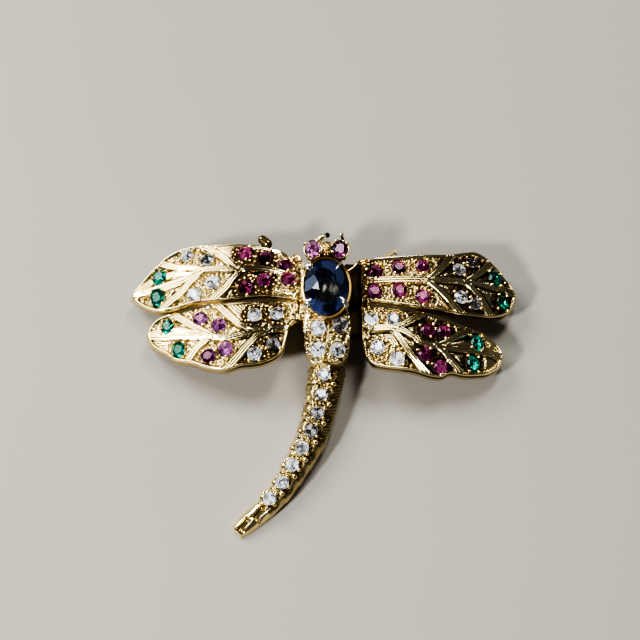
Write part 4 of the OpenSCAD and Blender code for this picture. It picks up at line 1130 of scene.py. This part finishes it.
def rods(name, listed, finish=polished, pale=0.0):
    """One piece from several rods: each is its points, its radii and how flat it is."""
    shapes = [rod(points, radii, flat) + HERE for points, radii, flat in listed]
    return join([skin("rod", s, finish, {"raised": np.full(s.shape[:2], pale)}) for s in shapes], name)


# %% Claws of the big stone
CLAW_D = 0.72
CLAWS = [  # angle, thickness, share of the stone's outline at the tip
    (52, 0.55, 0.66), (140, 1.55, 0.78), (217, 1.2, 0.78), (323, 0.85, 0.68)]


def claw(angle, thickness, tip):
    """A claw climbs the drum's side and bends over the girdle to a rounded point."""
    c, s = math.cos(math.radians(angle)), math.sin(math.radians(angle))
    d = CLAW_D * thickness
    points = []
    for reach, z in [(1.04, -1.5), (1.05, -0.6), (1.03, 0.05), (0.95, d * 0.45 + 0.08),
                     ((0.95 + tip) / 2, 0.42 * CLAW_D + 0.2), (tip, 0.62 * CLAW_D + 0.16)]:
        points.append([(big_stone["w"] / 2 * reach + 0.2) * c, (big_stone["l"] / 2 * reach + 0.2) * s,
                       big_stone["at"][2] + z])
    return points, [d * 0.5, d * 0.5, d * 0.48, d * 0.44, d * 0.34, d * 0.2], 0.8


claws = keep(rods("claws", [claw(*row) for row in CLAWS], finish=white_gold, pale=1.5), "stone_claws")
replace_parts(claws, "gold_frame")
print("claws", len(claws.data.polygons), "faces")

# %% [markdown]
# ## The head
#
# Two pink eyes stand in small cups, each with four thin prongs. Between them is a lump of reddish gold, and two
# short feelers bend forward, each with a bead at its end. A dark block behind joins the head to the thorax.

# %% Make the head
EYE_CUP = [  # height from the girdle, share of the stone's outline, extra radius
    [-1.9, 0.66, 0.0], [-1.5, 0.78, 0.02], [-1.0, 0.92, 0.08], [-0.55, 1.0, 0.14], [-0.25, 1.0, 0.19],
    [-0.08, 1.0, 0.19], [-0.02, 1.0, 0.13], [-0.08, 1.0, 0.05], [-0.5, 0.6, 0.0], [-0.9, 0.2, 0.0]]
PRONGS = [(35, 1.3), (118, 1.5), (205, 1.0), (300, 1.0)]  # angle, thickness
SMALL_AROUND = 48


def eye_cup(stone):
    """A small turned cup under an eye."""
    rows = smooth_rows(EYE_CUP, 4)
    turn = full_turn(SMALL_AROUND)
    inward = -0.25 * np.sign(stone["at"][0] - HERE[0]) * stone["w"] * ease(-0.4, -1.9, rows[:, 0])[:, None]
    x = (rows[:, 1:2] * stone["w"] / 2 + rows[:, 2:3]) * np.cos(turn) + inward
    y = (rows[:, 1:2] * stone["l"] / 2 + rows[:, 2:3]) * np.sin(turn)
    z = np.repeat(rows[:, :1], SMALL_AROUND, axis=1)
    return skin("cup", np.stack([x, y, z], axis=-1) + stone["at"], polished)


def eye_prongs(stone):
    """Four thin prongs that lean over an eye."""
    side = np.sign(stone["at"][0] - HERE[0])
    at = stone["at"] - HERE
    for angle, thick in PRONGS:
        turn = math.radians(angle if side > 0 else 180 - angle)
        points = [[at[0] + (stone["w"] / 2 * r + 0.12) * math.cos(turn),
                   at[1] + (stone["l"] / 2 * r + 0.12) * math.sin(turn), at[2] + h]
                  for r, h in [(0.98, -0.6), (1.03, -0.1), (0.96, 0.18), (0.78, 0.34)]]
        yield points, [0.17 * thick, 0.18 * thick, 0.17 * thick, 0.12 * thick], 1.0


def lump(name, middle, size, swell, seed, material):
    """A rounded lump with a beaten surface."""
    turn, rise = full_turn(SMALL_AROUND), np.linspace(-1, 1, 34)[1:-1] * np.pi / 2
    c, s = np.cos(turn)[None, :], np.sin(turn)[None, :]
    k = np.cos(rise)[:, None]
    bumps = pebbles((turn * 1.5)[None, :] * np.ones(k.shape), rise[:, None] * 1.5 + 0 * c, 0.42, seed) - 0.4
    reach = 1 + swell * bumps * k
    ring = np.stack([k * c * reach * size[0], k * s * reach * size[1],
                     np.sin(rise)[:, None] * reach * size[2]], axis=-1)
    hollow, raised = hollows(bumps * 0.3)
    return skin(name, ring + np.array(middle) + HERE, material, {"hollow": hollow, "raised": raised})


EYE_Z = eye_stones[0]["at"][2]
EYE_Y = eye_stones[0]["at"][1] - HERE[1]
FRONT = EYE_Y + eye_stones[0]["l"] / 2
LEFT_FEELER = ([[-0.80, FRONT - 0.55, EYE_Z - 0.95], [-0.86, FRONT - 0.05, EYE_Z - 0.10],
                [-0.42, FRONT + 0.45, EYE_Z + 0.16], [0.06, FRONT + 0.70, EYE_Z + 0.05]],
               [0.25, 0.33, 0.34, 0.16], 0.8)
RIGHT_FEELER = ([[1.50, FRONT - 0.30, EYE_Z - 1.20], [1.88, FRONT + 0.10, EYE_Z - 0.60],
                 [1.70, FRONT + 0.66, EYE_Z + 0.10]], [0.30, 0.20, 0.15], 1.0)
head_parts = [eye_cup(s) for s in eye_stones]
head_parts.append(rods("prongs", [p for s in eye_stones for p in eye_prongs(s)] + [LEFT_FEELER], pale=1.6))
head_parts.append(lump("tip", (1.68, FRONT + 0.72, EYE_Z + 0.18), (0.27, 0.27, 0.27), 0.05, 2, polished))
# The neck's parts are of the near-black gold: painted shade.
dark_parts = [rods("stem", [RIGHT_FEELER], finish=dark_gold),
              lump("tip", (0.10, FRONT + 0.72, EYE_Z + 0.02), (0.30, 0.30, 0.30), 0.05, 1, dark_gold),
              lump("block", (0, EYE_Y - 1.05, EYE_Z - 1.85), (1.85, 1.35, 0.9), 0.12, 3, dark_gold)]
brow = lump("brow", (0.05, EYE_Y + 0.25, EYE_Z - 0.45), (0.72, 0.86, 0.66), 0.42, 4, red_gold)
for piece, name in ((join(head_parts, "head"), "head"), (join(dark_parts, "neck"), "neck"), (brow, "brow")):
    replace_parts(keep(piece, name), "gold_frame")
    print(name, len(piece.data.polygons), "faces")

# %% [markdown]
# ## Roots, web and pads
#
# The front corner of each upper wing ends in a small curl beside the thorax. Right of the thorax the wings
# stand off, and a low web joins them at the bottom of a dark hollow. A strap bridges the hollow in front, and a
# dark sliver of metal stands in it. Two pads under the wings carry the pin and hide behind, so they are plain.

# %% Curls and blocks
CURL_TURNS, CURL_IN = 1.35, 0.62  # turns of the scroll, and how much of its size it winds in


def curl(x, y, z, size, way):
    """A rod rolled up into a small scroll."""
    turns = np.linspace(0, CURL_TURNS * 2 * np.pi, 14)
    reach = size * (1 - CURL_IN * turns / turns[-1])
    points = [[x + way * r * math.sin(t), y + r * math.cos(t) * 0.9, z + 0.10 * t / 3]
              for t, r in zip(turns, reach)]
    return points, [0.24] + [0.23] * 12 + [0.16], 1.0


def block(name, low, high, round_off, material):
    """A plain block with rounded edges."""
    work = bmesh.new()
    bmesh.ops.create_cube(work, size=1.0)
    low, high = (np.array(low) + HERE) * MM, (np.array(high) + HERE) * MM
    for v in work.verts:
        v.co = Vector((low + high) / 2 + np.array(v.co) * (high - low))
    bmesh.ops.bevel(work, geom=work.edges, offset=round_off * MM, segments=3, affect="EDGES", profile=0.5)
    mesh = bpy.data.meshes.new(name)
    work.to_mesh(mesh)
    work.free()
    mesh.materials.append(material)
    mesh.polygons.foreach_set("use_smooth", [True] * len(mesh.polygons))
    return bpy.data.objects.new(name, mesh)


# %% Make the curls, the web and the pads
WEB = [  # place along the body, height of the top, height of the foot, share of the width
    [-4.85, 4.10, 3.75, 0.5], [-4.6, 4.35, 3.45, 0.9], [-3.2, 4.40, 3.40, 1.0], [-1.8, 4.45, 3.45, 1.0],
    [-0.6, 4.75, 3.90, 1.0], [0.8, 4.90, 4.10, 1.0], [2.4, 4.90, 4.10, 1.0], [3.9, 4.90, 4.15, 0.95],
    [4.15, 4.60, 4.3, 0.6]]
WEB_X, WEB_HALF, WEB_COLUMNS = 3.45, 1.45, 19  # its middle to the right of the stone's, half its width


def make_web():
    """A low strip under the stand-off of the right wings."""
    rows = smooth_rows(WEB, 5)
    t = np.linspace(-1, 1, WEB_COLUMNS)
    x = WEB_X + WEB_HALF * t * rows[:, 3:]
    top = rows[:, 1:2] - 0.08 * (1 - t ** 2)
    y = np.repeat(rows[:, :1], 2 * WEB_COLUMNS, axis=1)
    foot = np.repeat(rows[:, 2:3], WEB_COLUMNS, axis=1)
    rings = np.stack([np.hstack([x, x[:, ::-1]]), y, np.hstack([np.maximum(top, foot + 0.1), foot])], axis=-1)
    return skin("web", rings + HERE, dark_gold)


STRAP = ([[2.30, 2.80, 5.40], [2.95, 3.10, 5.62], [3.40, 3.52, 5.78], [3.95, 3.92, 5.85], [4.60, 4.15, 5.95]],
         [0.11, 0.12, 0.16, 0.18, 0.15], 1.0)
SLIVER = ([[3.60, 2.75, 5.05], [3.57, 1.60, 5.15], [3.60, 0.55, 5.05]], [0.04, 0.06, 0.04], 1.0)
# The web, the sliver and the pads are of the near-black gold: painted shade.
under = [make_web(), rods("sliver", [SLIVER], finish=dark_gold),
         block("pad", (-7.7, 2.6, 4.2), (-6.1, 4.6, 5.6), 0.1, dark_gold),
         block("pad", (6.8, 2.6, 4.2), (8.4, 4.6, 5.6), 0.1, dark_gold)]
under = keep(join(under, "web_and_pads"), "web_and_pads")
curls = keep(rods("curls", [curl(-3.35, 3.95, 5.95, 0.60, -1), curl(4.15, 3.60, 5.95, 0.26, 1), STRAP],
                  finish=warm_gold), "root_curls")
for piece in (under, curls):
    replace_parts(piece, "gold_frame")
print("web, pads and curls made")

# %% [markdown]
# ## Grains
#
# Each small stone is held by three or four grains: beads of metal raised with a graver and pushed over the
# girdle. Two more sit between the stones of the tail, and smaller granules fill the ground. There are hundreds,
# so Geometry Nodes make them: one point per bead with its own size and lean, a low ball on each point, and
# everything joined to one plain mesh at the end.

# %% Beads by Geometry Nodes
def bead_tree(material):
    """A node tree that puts a ball on every point, sized by the point's own number."""
    group = bpy.data.node_groups.new("beads_on_points", "GeometryNodeTree")
    face = group.interface
    face.new_socket("Geometry", in_out="INPUT", socket_type="NodeSocketGeometry")
    size = face.new_socket("Bead size", in_out="INPUT", socket_type="NodeSocketFloat")
    flat = face.new_socket("Flatness", in_out="INPUT", socket_type="NodeSocketFloat")
    face.new_socket("Geometry", in_out="OUTPUT", socket_type="NodeSocketGeometry")
    t = Tree(group)
    start = group.nodes.new("NodeGroupInput")
    seeds, bead, low = [Value(t, start.outputs[k]) for k in range(3)]
    own = t.add("GeometryNodeInputNamedAttribute", {"data_type": "FLOAT"}, {"Name": "size"})
    lean = t.add("GeometryNodeInputNamedAttribute", {"data_type": "FLOAT_VECTOR"}, {"Name": "lean"})
    turn = t.add("FunctionNodeAlignRotationToVector", {"axis": "Z"}, {"Vector": lean})
    scale = t.add("ShaderNodeCombineXYZ", {}, {"X": own * bead, "Y": own * bead, "Z": own * bead * low})
    ball = t.add("GeometryNodeMeshUVSphere", {}, {"Segments": 8, "Rings": 6, "Radius": 0.5})
    points = t.add("GeometryNodeMeshToPoints", {}, {"Mesh": seeds})
    beads = t.add("GeometryNodeInstanceOnPoints", {},
                  {"Points": points, "Instance": ball, "Rotation": turn, "Scale": scale})
    solid = t.add("GeometryNodeRealizeInstances", {}, {"Geometry": beads})
    smooth = t.add("GeometryNodeSetShadeSmooth", {}, {0: solid})
    done = t.add("GeometryNodeSetMaterial", {}, {"Geometry": smooth, "Material": material})
    end = group.nodes.new("NodeGroupOutput")
    t.feed(end.inputs[0], done)
    return group, size.identifier, flat.identifier


def beads(name, places, sizes, leans, tree, size, flatness):
    """The beads on a list of places, as one plain mesh."""
    mesh = bpy.data.meshes.new(name + "_seeds")
    mesh.from_pydata(((np.array(places) + HERE) * MM).tolist(), [], [])
    mesh.attributes.new("size", "FLOAT", "POINT").data.foreach_set("value", np.array(sizes, dtype=np.float32))
    mesh.attributes.new("lean", "FLOAT_VECTOR", "POINT").data.foreach_set(
        "vector", np.array(leans, dtype=np.float32).ravel())
    seeds = bpy.data.objects.new(name + "_seeds", mesh)
    bpy.context.scene.collection.objects.link(seeds)
    group, size_socket, flat_socket = tree
    modifier = seeds.modifiers.new("beads", "NODES")
    modifier.node_group = group
    modifier[size_socket] = size * MM
    modifier[flat_socket] = flatness
    graph = bpy.context.evaluated_depsgraph_get()
    result = bpy.data.meshes.new_from_object(seeds.evaluated_get(graph))
    bpy.data.objects.remove(seeds)
    return bpy.data.objects.new(name, result)


# %% Where the grains go
GRAIN_D, GRAIN_REACH, GRAIN_Z, GRAIN_LEAN = 0.42, 0.14, 0.04, 0.35  # width, place from the stone's edge, tilt
FIRST_GRAIN, GRAIN_STRAY = 45, 12  # degrees
rng = np.random.default_rng(12)
grain_spots, grain_sizes, grain_leans = [], [], []
for stone in small_stones:
    count = 4 if stone["l"] > stone["w"] * 1.1 or "diamond" in stone["node"] else 3
    for k in range(count):
        turn = math.radians(FIRST_GRAIN + 360 * k / count + rng.uniform(-GRAIN_STRAY, GRAIN_STRAY))
        reach = GRAIN_REACH + rng.uniform(-0.02, 0.04)
        local = np.array([(stone["w"] / 2 + reach) * math.cos(turn), (stone["l"] / 2 + reach) * math.sin(turn),
                          GRAIN_Z])
        lean = stone["turn"] @ np.array([-GRAIN_LEAN * math.cos(turn), -GRAIN_LEAN * math.sin(turn), 1.0])
        grain_spots.append(stone["at"] + stone["turn"] @ local - HERE)
        grain_sizes.append(rng.uniform(0.85, 1.2))
        grain_leans.append(lean)
grain_spots += rib_spots
grain_leans += rib_leans
grain_sizes += RIB_SIZES * TAIL_STONES
tree = bead_tree(polished)
grains = keep(beads("grains", grain_spots, grain_sizes, grain_leans, tree, GRAIN_D, 1.0), "grains")
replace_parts(grains, "gold_frame")
print(len(grain_spots), "grains,", len(grains.data.polygons), "faces")


# %% Granules on the ground between the stones
GRANULE_D, GRANULE_FLATNESS, GRANULE_GAP = 0.29, 0.9, 0.43


def spread_out(spots, leans, gap, taken):
    """Keeps places that lie no closer to one another than the gap."""
    kept, kept_leans = np.array(taken), []
    for spot, lean in zip(spots, leans):
        if np.min(np.sum((kept - spot) ** 2, axis=1)) > gap ** 2:
            kept = np.vstack([kept, spot])
            kept_leans.append(lean)
    return kept[len(taken):], kept_leans


granule_at, granule_lean = spread_out(np.vstack(granule_spots), np.vstack(granule_leans), GRANULE_GAP, grain_spots)
granule_sizes = rng.uniform(0.7, 1.3, len(granule_at))
granules = keep(beads("granules", granule_at, granule_sizes, granule_lean, tree, GRANULE_D, GRANULE_FLATNESS),
                "granules")
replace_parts(granules, "gold_frame")
print(len(granule_at), "granules,", len(granules.data.polygons), "faces")

# %% [markdown]
# ## The pin
#
# The hinge, the stem and the catch hide behind the wings, and only a lug and the tip of the catch's lever show
# over the front edge. The solid's own shape is right, so it only gets its finish.

# %% Finish the pin
pin = nodes["pin_fitting"]
pin.data.materials.clear()
# The pin's finish is darkened as a painted reflection of dark surroundings.
pin.data.materials.append(plain_gold)
print("pin finished in", plain_gold.name)

# %% [markdown]
# ## Camera, floor and light
#
# The camera looks down at sixty-two degrees from about nineteen centimetres. The floor is plain and pale.
# Gold shows what it mirrors, so the lamps stand where its faces look. A big one at the back left fills the
# outer halves of the left wings, a narrow one behind the middle the inner halves of the right wings. The room
# between them stays dark, and a key lamp at the front left models the relief and casts the shadow. A weak bluish
# lamp low on the left cools the faces that look that way.

# %% Camera
ELEVATION, DISTANCE = math.radians(62.0), 190.0
FOCAL_PIXELS, PICTURE_PIXELS, SENSOR = 1672.0, 640, 36
TARGET = HERE + np.array([-0.716, -0.465, 0.0])
camera = bpy.data.objects.new("camera", bpy.data.cameras.new("camera"))
camera.data.lens = FOCAL_PIXELS / PICTURE_PIXELS * SENSOR
camera.data.sensor_width = SENSOR
camera.data.clip_start = 0.001
camera.location = Vector(TARGET * MM) + Vector((0, -math.cos(ELEVATION), math.sin(ELEVATION))) * DISTANCE * MM
camera.rotation_euler = (math.pi / 2 - ELEVATION, 0, 0)
bpy.context.scene.collection.objects.link(camera)
bpy.context.scene.camera = camera


# %% Floor and lamps
def floor_finish():
    """A pale, faintly clouded matt surface."""
    f = Finish("pale_floor", Roughness=0.55)
    dark, light = (0.25, 0.235, 0.215, 1), (0.31, 0.29, 0.265, 1)
    f.feed(f.shader.inputs["Base Color"], f.blend(f.noise(9, 4.0), dark, light))
    return f.material


FLOOR = 3000  # half its width
floor = mesh_object("floor", [[-FLOOR, -FLOOR, 0], [FLOOR, -FLOOR, 0], [FLOOR, FLOOR, 0], [-FLOOR, FLOOR, 0]],
                    [[0, 1, 2, 3]], floor_finish(), smooth=False)
bpy.context.scene.collection.objects.link(floor)
floor.location.z = -0.01 * MM


def lamp(name, place, size, power, colour):
    """A soft rectangular lamp that faces the brooch."""
    data = bpy.data.lights.new(name, "AREA")
    data.shape = "RECTANGLE"
    data.size, data.size_y = size[0] * MM, size[1] * MM
    data.energy = power
    data.color = colour
    obj = bpy.data.objects.new(name, data)
    obj.location = Vector(place) * MM
    obj.rotation_euler = (Vector((0, 0, 0)) - obj.location).to_track_quat("-Z", "Y").to_euler()
    bpy.context.scene.collection.objects.link(obj)


lamp("front_left", (-230, -190, 230), (50, 50), 2.0, (1.0, 0.98, 0.93))
lamp("back_left", (-232, 175, 255), (180, 180), 1.5, (1.0, 0.985, 0.90))
lamp("behind", (72, 155, 284), (84, 150), 0.55, (1.0, 0.985, 0.90))
lamp("low_left", (-286, 168, 128), (130, 110), 0.12, (0.70, 0.80, 1.0))
world = bpy.data.worlds.new("room")
world.use_nodes = True
world.node_tree.nodes["Background"].inputs["Color"].default_value = (0.88, 0.92, 1.0, 1)
world.node_tree.nodes["Background"].inputs["Strength"].default_value = 0.10
bpy.context.scene.world = world
bpy.context.scene.view_settings.view_transform = "AgX"
bpy.context.scene.view_settings.look = "AgX - High Contrast"
print("camera, floor and lamps")
